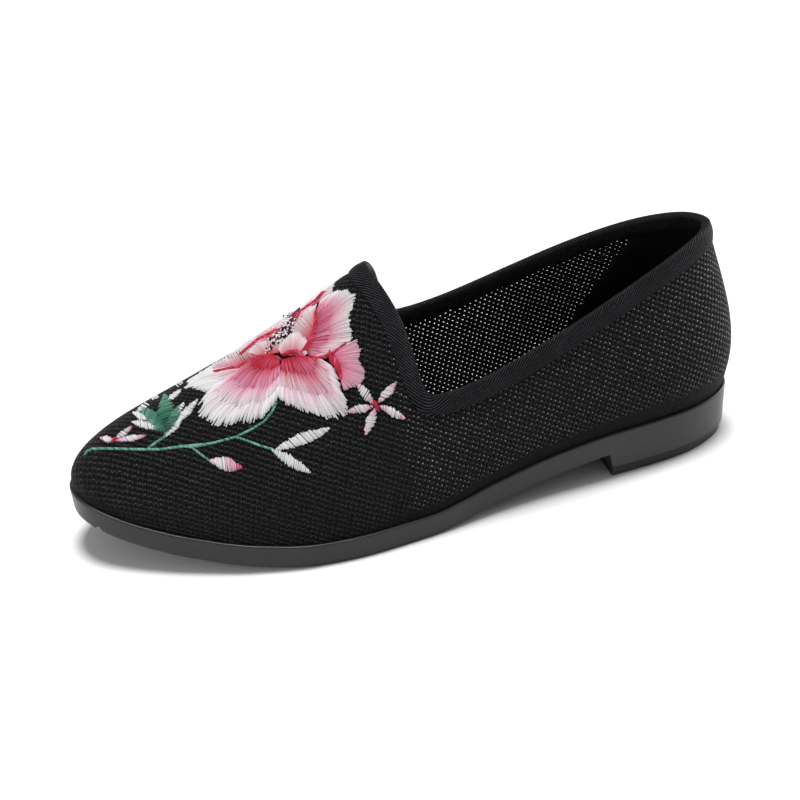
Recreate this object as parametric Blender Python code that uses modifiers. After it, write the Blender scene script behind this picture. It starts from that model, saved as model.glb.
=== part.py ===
"""Left cloth slip-on shoe: a mesh upper bound with tape, on a moulded rubber unit sole with a low heel.

Metres, +Z up.  The toe points along -Y and the outer side of the foot faces +X.  Every outline is
followed by its turn: 0 at the toe's tip, 1 at the back of the heel along the outer side, and the same
with a minus sign along the inner side.
"""
import math

import bmesh
import bpy
import numpy as np
from mathutils import Vector
from mathutils.bvhtree import BVHTree

COLLECTION = "cloth_shoe"

# Driving sizes of the sole
SOLE_LENGTH = 0.2475
BALL_WIDTH = 0.083
HEEL_HEIGHT = 0.0195
BAND_HEIGHT = 0.0087
TOE_SPRING = 0.0155
EDGE_ROUND = 0.0006
SIDE_TAPER = 0.06
HEEL_BREAST = 0.0555
BREAST_SLOPE = 0.0012
TOP_PIECE_HEIGHT = 0.0038
TOP_PIECE_INSET = 0.0004
TREAD_PITCH = 0.0070
TREAD_WIDTH = 0.0022
TREAD_DEPTH = 0.0012
TREAD_RAMP = 0.0004
TREAD_SPAN = (0.63, 0.985)
TREAD_RIM = 0.0050
TOE_NOTCH_FROM = 0.955

# Driving sizes of the upper, the tape round its edge and the insole
INSTEP_HEIGHT = 0.0888
WALL = 0.0012
FEATHER_INSET = 0.0010
CLEARANCE = 0.0003
TAPE_GAP = 0.00045
TAPE_THICKNESS = 0.0008
TAPE_OUTSIDE = 0.0060
TAPE_INSIDE = 0.0052
INSOLE_THICKNESS = 0.0025
INSOLE_INSET = 0.0031

# Sole outline.  Columns: share of the length from the heel, outer and inner half width as shares of
# the ball width, then how much of the heel's lift and of the toe spring the underside has there.
OUTLINE = (
    (1.000, 0.000, 0.000, 0.00, 1.000),
    (0.980, 0.165, 0.158, 0.00, 0.900),
    (0.930, 0.287, 0.280, 0.00, 0.645),
    (0.850, 0.412, 0.390, 0.00, 0.350),
    (0.760, 0.510, 0.442, 0.00, 0.125),
    (0.680, 0.553, 0.447, 0.00, 0.015),
    (0.640, 0.555, 0.432, 0.00, 0.000),
    (0.520, 0.507, 0.345, 0.00, 0.000),
    (0.400, 0.418, 0.300, 0.40, 0.000),
    (0.300, 0.365, 0.314, 0.75, 0.000),
    (0.200, 0.333, 0.330, 0.96, 0.000),
    (0.100, 0.281, 0.310, 1.00, 0.000),
    (0.030, 0.172, 0.205, 1.00, 0.000),
    (0.000, -0.015, 0.015, 1.00, 0.000),
)

# Ridge over the toes up to the tongue's peak, where the walls of both sides meet.  Columns: share
# along the foot's edge, share along the ridge, distance across (toward the outer side) in ball widths,
# height in instep heights.
RIDGE = (
    (1.000, 0.930, -0.020, 0.470),
    (0.940, 0.885, -0.030, 0.525),
    (0.860, 0.815, -0.036, 0.580),
    (0.780, 0.735, -0.036, 0.670),
    (0.700, 0.660, -0.028, 0.775),
    (0.620, 0.586, -0.012, 0.932),
    (0.565, 0.545, 0.000, 0.998),
)

# Collar from the tongue's peak round each side to the heel.  Columns: share along the foot's edge,
# share along the collar, outer and inner distance across in ball widths, outer and inner height in
# instep heights.
COLLAR = (
    (0.565, 0.545, 0.000, 0.000, 0.998, 0.998),
    (0.553, 0.536, 0.110, -0.105, 0.963, 0.968),
    (0.541, 0.522, 0.205, -0.190, 0.885, 0.905),
    (0.529, 0.513, 0.278, -0.255, 0.780, 0.815),
    (0.515, 0.508, 0.350, -0.318, 0.645, 0.693),
    (0.495, 0.497, 0.386, -0.347, 0.564, 0.618),
    (0.465, 0.460, 0.398, -0.360, 0.560, 0.607),
    (0.395, 0.394, 0.378, -0.345, 0.605, 0.650),
    (0.295, 0.295, 0.330, -0.305, 0.692, 0.748),
    (0.195, 0.197, 0.272, -0.250, 0.792, 0.845),
    (0.095, 0.104, 0.200, -0.190, 0.885, 0.910),
    (0.030, 0.045, 0.105, -0.110, 0.930, 0.933),
    (0.000, 0.026, -0.010, -0.010, 0.934, 0.934),
)

# Form of the wall from the foot's edge to the top edge, under the ridge and under the collar.
# Columns: share along the foot's edge, lean of the foot's handle outward in ball widths, its rise as a
# share of the wall's height, reach of the top's handle outward in ball widths, and its drop as a share
# of the wall's height.
VAMP_FORM = (
    (1.000, 0.035, 0.400, 0.100, 0.000),
    (0.930, 0.050, 0.450, 0.170, 0.020),
    (0.850, 0.055, 0.500, 0.230, 0.020),
    (0.760, 0.055, 0.500, 0.260, 0.020),
    (0.680, 0.055, 0.480, 0.260, 0.020),
    (0.620, 0.050, 0.440, 0.240, 0.020),
    (0.565, 0.046, 0.420, 0.220, 0.020),
)
QUARTER_FORM = (
    (0.565, 0.046, 0.420, 0.220, 0.020),
    (0.553, 0.043, 0.385, 0.185, 0.130),
    (0.541, 0.040, 0.358, 0.150, 0.215),
    (0.529, 0.038, 0.342, 0.112, 0.270),
    (0.510, 0.036, 0.332, 0.066, 0.310),
    (0.480, 0.036, 0.328, 0.040, 0.325),
    (0.395, 0.036, 0.320, 0.030, 0.340),
    (0.295, 0.042, 0.310, 0.030, 0.350),
    (0.195, 0.052, 0.300, 0.038, 0.350),
    (0.095, 0.066, 0.300, 0.050, 0.350),
    (0.000, 0.112, 0.300, 0.060, 0.360),
)

# Shares of the length between which the walls take up the slope of the toe's ridge
RIDGE_SLOPE_SPAN = (0.80, 0.98)

# Fineness of the meshes
VAMP_STEPS = 14
THROAT_STEPS = 28
COLLAR_STEPS = 20
THROAT_SPAN = (0.62, 0.475)
WALL_STEPS = 11
FINE = 3
SOLE_STEPS = 44
CORNER_SHARE = 0.25
TOP_PIECE_STEPS = 18
INSOLE_STEPS = 36
SMOOTHING = 3
OUTSIDE_PARTS = (0.05, 0.35, 0.70, 1.00)
INSIDE_PARTS = (0.08, 0.50, 1.00)
FOLD_ANGLES = (50, 90, 130)


def monotone(knots, values, at):
    """Smooth curve through the values that never swings past them."""
    gaps = np.diff(knots)
    slopes = np.diff(values) / gaps
    tangents = np.zeros(len(knots))
    tangents[0] = slopes[0]
    tangents[-1] = slopes[-1]
    for i in range(1, len(slopes)):
        before, after = slopes[i - 1], slopes[i]
        if before * after > 0:
            near, far = 2 * gaps[i] + gaps[i - 1], gaps[i] + 2 * gaps[i - 1]
            tangents[i] = (near + far) / (near / before + far / after)
    at = np.asarray(at, float)
    i = np.clip(np.searchsorted(knots, at) - 1, 0, len(gaps) - 1)
    t = (at - knots[i]) / gaps[i]
    value = (1 + 2 * t) * (1 - t) ** 2 * values[i] + t * (1 - t) ** 2 * gaps[i] * tangents[i]
    return value + t * t * (3 - 2 * t) * values[i + 1] + t * t * (t - 1) * gaps[i] * tangents[i + 1]


def turn_of(share):
    """Turn of the outer side at a share of the length."""
    return np.arccos(np.clip(2 * np.asarray(share, float) - 1, -1, 1)) / math.pi


def share_of(turn):
    """Share of the length at a turn of either side."""
    return (1 + np.cos(math.pi * np.asarray(turn, float))) / 2


def around(turns, outer, inner, turn):
    """Value at a turn, from a column for the outer side and one for the inner side.

    The columns start at turn 0 and end at turn 1, where both sides join smoothly.
    """
    knots = np.concatenate([-turns[::-1][:-1], turns])
    values = np.concatenate([np.asarray(inner)[::-1][:-1], np.asarray(outer)])
    lap = 2.0
    knots = np.concatenate([knots[-4:-1] - lap, knots, knots[1:4] + lap])
    values = np.concatenate([values[-4:-1], values, values[1:4]])
    return monotone(knots, values, turn)


def behind_peak(turns, column, turn):
    """Value at a turn of 0 at the peak to 1 at the heel, where both sides join smoothly."""
    knots = np.append(turns, 2 - turns[-2:-4:-1])
    return monotone(knots, np.append(column, column[-2:-4:-1]), abs(turn))


def sole_bottom(along):
    """Height of the band's underside at a distance from the heel's back."""
    share, outer, inner, heel_part, toe_part = np.array(OUTLINE)[::-1].T
    at = np.clip(np.asarray(along) / SOLE_LENGTH, 0, 1)
    heel_lift = HEEL_HEIGHT - BAND_HEIGHT
    return heel_lift * monotone(share, heel_part, at) + TOE_SPRING * monotone(share, toe_part, at)


def sole_top(along):
    """Height of the band's top edge."""
    return sole_bottom(along) + BAND_HEIGHT


def sole_edge(turn, inset=0.0):
    """Across and along of the sole's outline at a turn, moved inward by the inset."""
    share, outer, inner, heel_part, toe_part = np.array(OUTLINE).T
    step = 1e-4

    def bare(at):
        across = BALL_WIDTH * around(turn_of(share), outer, -inner, at)
        return np.stack([across, SOLE_LENGTH * share_of(at)], axis=-1)

    turn = np.asarray(turn, float)
    tangent = bare(turn + step) - bare(turn - step)
    tangent /= np.linalg.norm(tangent, axis=-1, keepdims=True)
    inward = np.stack([tangent[..., 1], -tangent[..., 0]], axis=-1)
    return bare(turn) + inward * np.asarray(inset)[..., None]


def peak_turn():
    """Turn of the section that ends at the tongue's peak."""
    return float(turn_of(COLLAR[0][0]))


def ridge_slope(turn):
    """Slope of the ridge over the toes, which the walls there follow; none toward the throat."""
    front, behind = np.array(RIDGE)[[0, 2]]
    slope = (front[3] - behind[3]) * INSTEP_HEIGHT / ((front[1] - behind[1]) * SOLE_LENGTH)
    start, full = RIDGE_SLOPE_SPAN
    return slope * np.clip((share_of(turn) - start) / (full - start), 0, 1)


def ridge(turn):
    """Across, along and up of the ridge at a turn of either side ahead of the peak."""
    share, along, across, high = np.array(RIDGE).T
    knots = turn_of(share) / peak_turn()
    at = np.minimum(abs(turn) / peak_turn(), 1)
    across, along, high = (around(knots, column, column, at) for column in (across, along, high))
    return np.stack([BALL_WIDTH * across, SOLE_LENGTH * along, INSTEP_HEIGHT * high], axis=-1)


def collar(turn):
    """Across, along and up of the collar's edge at a turn of either side behind the peak."""
    share, along, outer, inner, outer_high, inner_high = np.array(COLLAR).T
    knots = (turn_of(share) - peak_turn()) / (1 - peak_turn())
    at = np.sign(turn) * np.maximum(abs(turn) - peak_turn(), 0) / (1 - peak_turn())
    across = around(knots, outer, inner, at)
    along = around(knots, along, along, at)
    high = around(knots, outer_high, inner_high, at)
    return np.stack([BALL_WIDTH * across, SOLE_LENGTH * along, INSTEP_HEIGHT * high], axis=-1)


def wall_form(turn):
    """Lean, rise, reach and drop of the wall's handles at each turn."""
    vamp_share, *vamp = np.array(VAMP_FORM).T
    quarter_share, *quarter = np.array(QUARTER_FORM).T
    vamp_knots = turn_of(vamp_share) / peak_turn()
    quarter_knots = (turn_of(quarter_share) - peak_turn()) / (1 - peak_turn())
    ahead = np.minimum(abs(turn) / peak_turn(), 1)
    behind = np.maximum(abs(turn) - peak_turn(), 0) / (1 - peak_turn())
    form = []
    for front, back in zip(vamp, quarter):
        front = around(vamp_knots, front, front, ahead)
        back = behind_peak(quarter_knots, back, behind)
        form.append(np.where(abs(turn) <= peak_turn(), front, back)[..., None])
    return form


def wall_frame(turn):
    """The four handles of the wall's curve at each turn, from the foot's edge to the top edge."""
    turn = np.asarray(turn, float)
    foot = np.zeros(turn.shape + (3,))
    foot[..., :2] = sole_edge(turn, FEATHER_INSET)
    foot[..., 2] = sole_top(SOLE_LENGTH * share_of(turn)) + CLEARANCE
    top = np.where(abs(turn)[..., None] <= peak_turn(), ridge(turn), collar(turn))
    lean, rise, reach, drop = wall_form(turn)
    high = (top - foot)[..., 2:]
    outward = sole_edge(turn) - foot[..., :2]
    outward /= np.linalg.norm(outward, axis=-1, keepdims=True)
    over = (foot - top)[..., :2]
    over /= np.linalg.norm(over, axis=-1, keepdims=True)
    foot_handle = foot + np.concatenate([outward * lean * BALL_WIDTH, rise * high], axis=-1)
    out = over * reach * BALL_WIDTH
    fall = -drop * high + ridge_slope(turn)[..., None] * out[..., 1:]
    top_handle = top + np.concatenate([out, fall], axis=-1)
    return foot, foot_handle, top_handle, top


def upper_surface(turn, climb):
    """Points of the upper's outer face: across, along and up, at a turn and a climb of 0 to 1."""
    foot, foot_handle, top_handle, top = wall_frame(turn)
    v = np.asarray(climb, float)[..., None]
    lower = (1 - v) ** 3 * foot + 3 * v * (1 - v) ** 2 * foot_handle
    return lower + 3 * v * v * (1 - v) * top_handle + v ** 3 * top


def in_world(points):
    """Across, along, up to X, Y, Z: the toe points along -Y."""
    points = np.array(points, float)
    points[..., 1] = -points[..., 1]
    return points


def upper_turns(fine=1):
    """Turns of the upper's sections on the outer side, closer together at the throat."""
    ends = (0.0, float(turn_of(THROAT_SPAN[0])), float(turn_of(THROAT_SPAN[1])), 1.0)
    steps = (VAMP_STEPS, THROAT_STEPS, COLLAR_STEPS)
    spans = [np.linspace(ends[i], ends[i + 1], steps[i] * fine + 1)[:-1] for i in range(3)]
    return np.unique(np.append(np.concatenate(spans), [1.0, peak_turn()]))


def upper_grid(fine=1):
    """Outer face of the upper: a mesh of both walls, and the points of its collar edge in order."""
    mesh = bmesh.new()
    turns = upper_turns(fine)
    climbs = np.linspace(0, 1, WALL_STEPS * fine + 1)
    walls = []
    for side in (1, -1):
        grid, rows = np.meshgrid(side * turns, climbs, indexing="ij")
        wall = []
        for i, row in enumerate(in_world(upper_surface(grid, rows))):
            seam = side < 0 and i in (0, len(turns) - 1)
            verts = [walls[0][i][j] if seam else mesh.verts.new(row[j]) for j in range(len(row) - 1)]
            ridge_seam = side < 0 and (seam or turns[i] <= peak_turn())
            wall.append(verts + [walls[0][i][-1] if ridge_seam else mesh.verts.new(row[-1])])
        walls.append(wall)
        for i in range(len(turns) - 1):
            for j in range(len(climbs) - 1):
                corners = [wall[i][j], wall[i + 1][j], wall[i + 1][j + 1], wall[i][j + 1]]
                mesh.faces.new(corners[::side])
    peak = int(np.searchsorted(turns, peak_turn()))
    loop = [row[-1] for row in walls[0][peak:]] + [row[-1] for row in walls[1][peak + 1:-1][::-1]]
    relax(mesh, [row[0] for wall in walls for row in wall], SMOOTHING * fine ** 2)
    return mesh, [vert.co.copy() for vert in loop]


def relax(mesh, fixed, rounds):
    """Even the surface out: inner points over it, edge points along the edge, and not the fixed ones."""
    mesh.verts.index_update()
    held = {vert.index for vert in fixed}
    links = []
    for edge in mesh.edges:
        for vert in edge.verts:
            if vert.index not in held and (edge.is_boundary or not vert.is_boundary):
                links.append((vert.index, edge.other_vert(vert).index))
    moved, beside = np.array(links).T
    count = np.bincount(moved, minlength=len(mesh.verts))[:, None]
    place = np.array([vert.co for vert in mesh.verts])
    free = count[:, 0] > 0
    for _ in range(rounds):
        total = np.zeros_like(place)
        np.add.at(total, moved, place[beside])
        place[free] = (place[free] + total[free] / count[free]) / 2
    for vert, spot in zip(mesh.verts, place):
        vert.co = spot
    mesh.normal_update()


def material(name, colour, roughness):
    """Plain Principled material of the given colour and roughness."""
    made = bpy.data.materials.new(name)
    made.use_nodes = True
    shader = made.node_tree.nodes["Principled BSDF"]
    shader.inputs["Base Color"].default_value = (*colour, 1.0)
    shader.inputs["Roughness"].default_value = roughness
    shader.inputs["Metallic"].default_value = 0.0
    return made


def add_object(name, mesh, look, parent, sharp_degrees=35):
    """Object of the finished bmesh, shaded smooth up to the sharp angle."""
    data = bpy.data.meshes.new(name)
    mesh.to_mesh(data)
    mesh.free()
    data.materials.append(look)
    data.shade_smooth()
    data.set_sharp_from_angle(angle=math.radians(sharp_degrees))
    made = bpy.data.objects.new(name, data)
    bpy.data.collections[COLLECTION].objects.link(made)
    made.parent = parent
    return made


def plate(turns, levels):
    """Closed loft whose rings follow the sole's outline.

    The turns are those of the outer side, and the first is 0 for a full outline or the turn of a
    straight front edge.  Each level is a pair of functions of the turns: the inset and the height.
    """
    mesh = bmesh.new()
    full = turns[0] == 0
    rings = []
    for inset, height in levels:
        sides = {}
        for side in (1, -1):
            place = sole_edge(side * turns, inset(turns))
            points = np.column_stack([place, height(turns, place[:, 1])])
            sides[side] = [mesh.verts.new(point) for point in in_world(points)]
        if full:
            mesh.verts.remove(sides[-1][0])
            sides[-1][0] = sides[1][0]
        mesh.verts.remove(sides[-1][-1])
        sides[-1][-1] = sides[1][-1]
        rings.append(sides)
    for low, high in zip(rings, rings[1:]):
        for side in (1, -1):
            for k in range(len(turns) - 1):
                corners = [low[side][k], low[side][k + 1], high[side][k + 1], high[side][k]]
                mesh.faces.new(corners[::side])
        if not full:
            mesh.faces.new([low[-1][0], low[1][0], high[1][0], high[-1][0]])
    for sides, direction in ((rings[0], -1), (rings[-1], 1)):
        for k in range(len(turns) - 1):
            corners = [sides[1][k], sides[1][k + 1], sides[-1][k + 1], sides[-1][k]]
            corners = list(dict.fromkeys(corners))
            mesh.faces.new(corners[::direction])
    mesh.normal_update()
    return mesh


def tread(along):
    """Depth of the tread's cross grooves under the forefoot at a distance from the heel's back."""
    first, last = (share * SOLE_LENGTH for share in TREAD_SPAN)
    depth = np.zeros_like(along)
    for start in np.arange(first, last - TREAD_WIDTH, TREAD_PITCH):
        rise = np.minimum(along - start, start + TREAD_WIDTH - along) / TREAD_RAMP
        depth = np.maximum(depth, TREAD_DEPTH * np.clip(rise, 0, 1))
    return depth


def outsole_turns():
    """Turns of the outsole's sections, with the corners of the tread and of the heel's breast."""
    first, last = (share * SOLE_LENGTH for share in TREAD_SPAN)
    corners = [HEEL_BREAST, HEEL_BREAST - BREAST_SLOPE]
    for start in np.arange(first, last - TREAD_WIDTH, TREAD_PITCH):
        end = start + TREAD_WIDTH
        corners += [start, start + TREAD_RAMP, end - TREAD_RAMP, end]
    corners = turn_of(np.array(corners) / SOLE_LENGTH)
    plain = np.linspace(0, 1, SOLE_STEPS + 1)
    near = np.abs(plain[:, None] - corners[None, :]).min(axis=1)
    plain = plain[(near > CORNER_SHARE / SOLE_STEPS) | (plain == 0) | (plain == 1)]
    return np.sort(np.concatenate([plain, corners]))


def underside(turns, rim=True):
    """Height of the outsole's underside at its rim, or inside it, where the tread runs."""
    along = SOLE_LENGTH * share_of(turns)
    depth = tread(along)
    if rim:
        depth = np.where(along > TOE_NOTCH_FROM * SOLE_LENGTH, depth, 0)
    open_part = sole_bottom(along) + depth
    heel_seat = TOP_PIECE_HEIGHT + CLEARANCE
    heel_part = np.clip((HEEL_BREAST - along) / BREAST_SLOPE, 0, 1)
    return open_part + heel_part * (heel_seat - open_part)


def taper(turns, height):
    """How far the sole's side has come in at a height below its top edge."""
    return SIDE_TAPER * (sole_top(SOLE_LENGTH * share_of(turns)) - height)


def outsole(look, parent):
    """Moulded unit sole: band, arch, toe spring, cross tread and heel block in one piece."""
    def top(turns):
        return sole_top(SOLE_LENGTH * share_of(turns))

    levels = (
        (lambda t: 0 * t + TREAD_RIM, lambda t, along: underside(t, rim=False)),
        (lambda t: taper(t, underside(t)) + EDGE_ROUND, lambda t, along: underside(t)),
        (lambda t: taper(t, underside(t)), lambda t, along: underside(t) + EDGE_ROUND),
        (lambda t: 0 * t, lambda t, along: top(t) - EDGE_ROUND),
        (lambda t: 0 * t + EDGE_ROUND, lambda t, along: top(t)),
    )
    return add_object("outsole", plate(outsole_turns(), levels), look, parent)


def heel_top_piece(look, parent):
    """Hard-wearing piece under the heel block, set in a little so that a groove shows above it."""
    front = float(turn_of((HEEL_BREAST - BREAST_SLOPE - TOP_PIECE_INSET) / SOLE_LENGTH))
    turns = np.linspace(front, 1, TOP_PIECE_STEPS + 1)
    seat = TOP_PIECE_HEIGHT + CLEARANCE

    def inset(turns, height):
        return taper(turns, seat) + EDGE_ROUND + TOP_PIECE_INSET + SIDE_TAPER * (seat - height)

    levels = (
        (lambda t: inset(t, 0) + EDGE_ROUND, lambda t, along: 0 * t),
        (lambda t: inset(t, 0), lambda t, along: 0 * t + EDGE_ROUND),
        (lambda t: inset(t, TOP_PIECE_HEIGHT), lambda t, along: 0 * t + TOP_PIECE_HEIGHT),
    )
    return add_object("heel_top_piece", plate(turns, levels), look, parent)


def insole(look, parent):
    """Flat insole that lies on the outsole inside the upper."""
    levels = (
        (lambda t: 0 * t + INSOLE_INSET, lambda t, along: sole_top(along) + CLEARANCE),
        (lambda t: 0 * t + INSOLE_INSET,
         lambda t, along: sole_top(along) + CLEARANCE + INSOLE_THICKNESS),
    )
    return add_object("insole", plate(np.linspace(0, 1, INSOLE_STEPS + 1), levels), look, parent)


def upper(look, parent):
    """Hollow cloth upper with its real wall, open at the collar and underneath."""
    made = add_object("upper", upper_grid()[0], look, parent)
    wall = made.modifiers.new("wall", "SOLIDIFY")
    wall.thickness = WALL
    wall.offset = -1.0
    wall.use_even_offset = True
    return made


def edge_frames(edge, face_tree):
    """Points of the collar's edge, with directions down the wall and outward normals there."""
    points = np.array(edge)
    ahead = np.roll(points, -1, axis=0) - np.roll(points, 1, axis=0)
    facing = np.array([face_tree.find_nearest(point)[1] for point in edge])
    facing = facing + (np.roll(facing, -1, axis=0) + np.roll(facing, 1, axis=0)) / 2
    facing -= ahead * (np.sum(facing * ahead, axis=1) / np.sum(ahead * ahead, axis=1))[:, None]
    down = np.cross(ahead, facing)
    return [(Vector(point), Vector(fall).normalized(), Vector(normal).normalized())
            for point, fall, normal in zip(points, down, facing)]


def collar_binding(look, parent):
    """Tape folded over the whole top edge of the upper, which its two legs follow."""
    (coarse, edge), (fine, _) = upper_grid(), upper_grid(FINE)
    place_tree, facing_tree = BVHTree.FromBMesh(coarse), BVHTree.FromBMesh(fine)
    coarse.free()
    fine.free()
    fold = TAPE_GAP + TAPE_THICKNESS

    def leg(point, down, reach, parts):
        """Points on the upper's outer face at parts of the reach below the edge, and its normals."""
        spots = [point + down * reach * part for part in parts]
        return [(place_tree.find_nearest(spot)[0], facing_tree.find_nearest(spot)[1]) for spot in spots]

    rings = []
    mesh = bmesh.new()
    for point, down, normal in edge_frames(edge, facing_tree):
        outside = leg(point, down, TAPE_OUTSIDE, OUTSIDE_PARTS)
        inside = leg(point, down, TAPE_INSIDE, INSIDE_PARTS)
        ring = [place + facing * fold for place, facing in outside[::-1]]
        for angle in FOLD_ANGLES:
            across = math.cos(math.radians(angle)) * (WALL / 2 + fold) - WALL / 2
            ring.append(point + normal * across - down * math.sin(math.radians(angle)) * fold)
        ring += [place - facing * (WALL + fold) for place, facing in inside]
        ring += [place - facing * (WALL + TAPE_GAP) for place, facing in inside[::-1]]
        ring += [point - normal * WALL - down * TAPE_GAP, point - down * TAPE_GAP]
        ring += [place + facing * TAPE_GAP for place, facing in outside]
        rings.append([mesh.verts.new(spot) for spot in ring])
    for i, ring in enumerate(rings):
        after = rings[(i + 1) % len(rings)]
        for j in range(len(ring)):
            k = (j + 1) % len(ring)
            mesh.faces.new([ring[j], ring[k], after[k], after[j]])
    bmesh.ops.recalc_face_normals(mesh, faces=mesh.faces[:])
    return add_object("collar_binding", mesh, look, parent)


def stand_on_origin(pieces, root):
    """Move the root so that the bounding box's bottom centre is the origin."""
    bpy.context.view_layer.update()
    graph = bpy.context.evaluated_depsgraph_get()
    corners = []
    for piece in pieces:
        shape = piece.evaluated_get(graph)
        corners += [shape.matrix_world @ Vector(corner) for corner in shape.bound_box]
    corners = np.array(corners)
    low, high = corners.min(axis=0), corners.max(axis=0)
    root.location = (-(low[0] + high[0]) / 2, -(low[1] + high[1]) / 2, -low[2])


def build():
    """The whole shoe in its own collection."""
    for old in list(bpy.data.objects):
        bpy.data.objects.remove(old)
    collection = bpy.data.collections.new(COLLECTION)
    bpy.context.scene.collection.children.link(collection)
    root = bpy.data.objects.new("shoe_frame", None)
    collection.objects.link(root)
    rubber = material("charcoal_rubber", (0.052, 0.052, 0.055), 0.42)
    hard_rubber = material("dark_rubber", (0.030, 0.030, 0.032), 0.50)
    mesh_cloth = material("black_mesh_cloth", (0.018, 0.018, 0.020), 0.80)
    tape = material("black_twill_tape", (0.016, 0.017, 0.021), 0.70)
    lining = material("black_insole_cloth", (0.012, 0.012, 0.013), 0.90)
    pieces = [
        outsole(rubber, root),
        heel_top_piece(hard_rubber, root),
        insole(lining, root),
        upper(mesh_cloth, root),
        collar_binding(tape, root),
    ]
    stand_on_origin(pieces, root)


build()
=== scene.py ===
"""Looks of a left cloth slip-on shoe: mesh cloth, twill tape, embroidered peony and rubber sole.

Metres, +Z up.  The toe points along -Y and the outer side of the foot faces +X.  The sizes and the
surface functions of the shoe's form are those of its solids, so each finer piece lies where they are.
"""

import math
import random

import bmesh
import bpy
import numpy as np
from mathutils import Matrix, Vector
from mathutils.bvhtree import BVHTree


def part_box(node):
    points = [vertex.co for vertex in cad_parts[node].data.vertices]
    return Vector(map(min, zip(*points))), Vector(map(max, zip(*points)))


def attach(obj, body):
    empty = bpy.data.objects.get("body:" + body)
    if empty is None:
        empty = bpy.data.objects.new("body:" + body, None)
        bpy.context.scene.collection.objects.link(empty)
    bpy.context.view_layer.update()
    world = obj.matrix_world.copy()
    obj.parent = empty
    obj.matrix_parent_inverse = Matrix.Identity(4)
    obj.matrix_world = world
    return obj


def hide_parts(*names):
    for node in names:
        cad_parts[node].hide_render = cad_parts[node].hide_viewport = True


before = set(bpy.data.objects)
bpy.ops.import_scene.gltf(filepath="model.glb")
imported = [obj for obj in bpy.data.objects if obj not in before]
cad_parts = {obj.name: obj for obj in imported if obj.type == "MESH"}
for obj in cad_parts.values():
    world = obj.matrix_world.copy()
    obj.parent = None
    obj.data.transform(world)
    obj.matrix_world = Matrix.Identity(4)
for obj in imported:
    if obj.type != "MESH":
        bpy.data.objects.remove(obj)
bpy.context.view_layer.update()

# Driving sizes of the sole
SOLE_LENGTH = 0.2475
BALL_WIDTH = 0.083
HEEL_HEIGHT = 0.0195
BAND_HEIGHT = 0.0087
TOE_SPRING = 0.0155
EDGE_ROUND = 0.0006
SIDE_TAPER = 0.06
HEEL_BREAST = 0.0555
BREAST_SLOPE = 0.0012
TOP_PIECE_HEIGHT = 0.0038
TREAD_PITCH = 0.0070
TREAD_WIDTH = 0.0022
TREAD_DEPTH = 0.0012
TREAD_RAMP = 0.0004
TREAD_SPAN = (0.63, 0.985)
TREAD_RIM = 0.0050
TOE_NOTCH_FROM = 0.955

# Driving sizes of the upper, the tape round its edge and the insole
INSTEP_HEIGHT = 0.0888
WALL = 0.0012
FEATHER_INSET = 0.0010
CLEARANCE = 0.0003
TAPE_GAP = 0.00045
TAPE_THICKNESS = 0.0008
TAPE_OUTSIDE = 0.0060
TAPE_INSIDE = 0.0052
INSOLE_THICKNESS = 0.0025
INSOLE_INSET = 0.0031

# Sole outline.  Columns: share of the length from the heel, outer and inner half width as shares of
# the ball width, then how much of the heel's lift and of the toe spring the underside has there.
OUTLINE = (
    (1.000, 0.000, 0.000, 0.00, 1.000),
    (0.980, 0.165, 0.158, 0.00, 0.900),
    (0.930, 0.287, 0.280, 0.00, 0.645),
    (0.850, 0.412, 0.390, 0.00, 0.350),
    (0.760, 0.510, 0.442, 0.00, 0.125),
    (0.680, 0.553, 0.447, 0.00, 0.015),
    (0.640, 0.555, 0.432, 0.00, 0.000),
    (0.520, 0.507, 0.345, 0.00, 0.000),
    (0.400, 0.418, 0.300, 0.40, 0.000),
    (0.300, 0.365, 0.314, 0.75, 0.000),
    (0.200, 0.333, 0.330, 0.96, 0.000),
    (0.100, 0.281, 0.310, 1.00, 0.000),
    (0.030, 0.172, 0.205, 1.00, 0.000),
    (0.000, -0.015, 0.015, 1.00, 0.000),
)

# Ridge over the toes up to the tongue's peak, where the walls of both sides meet.  Columns: share
# along the foot's edge, share along the ridge, distance across (toward the outer side) in ball widths,
# height in instep heights.
RIDGE = (
    (1.000, 0.930, -0.020, 0.470),
    (0.940, 0.885, -0.030, 0.525),
    (0.860, 0.815, -0.036, 0.580),
    (0.780, 0.735, -0.036, 0.670),
    (0.700, 0.660, -0.028, 0.775),
    (0.620, 0.586, -0.012, 0.932),
    (0.565, 0.545, 0.000, 0.998),
)

# Collar from the tongue's peak round each side to the heel.  Columns: share along the foot's edge,
# share along the collar, outer and inner distance across in ball widths, outer and inner height in
# instep heights.
COLLAR = (
    (0.565, 0.545, 0.000, 0.000, 0.998, 0.998),
    (0.553, 0.536, 0.110, -0.105, 0.963, 0.968),
    (0.541, 0.522, 0.205, -0.190, 0.885, 0.905),
    (0.529, 0.513, 0.278, -0.255, 0.780, 0.815),
    (0.515, 0.508, 0.350, -0.318, 0.645, 0.693),
    (0.495, 0.497, 0.386, -0.347, 0.564, 0.618),
    (0.465, 0.460, 0.398, -0.360, 0.560, 0.607),
    (0.395, 0.394, 0.378, -0.345, 0.605, 0.650),
    (0.295, 0.295, 0.330, -0.305, 0.692, 0.748),
    (0.195, 0.197, 0.272, -0.250, 0.792, 0.845),
    (0.095, 0.104, 0.200, -0.190, 0.885, 0.910),
    (0.030, 0.045, 0.105, -0.110, 0.930, 0.933),
    (0.000, 0.026, -0.010, -0.010, 0.934, 0.934),
)

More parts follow.
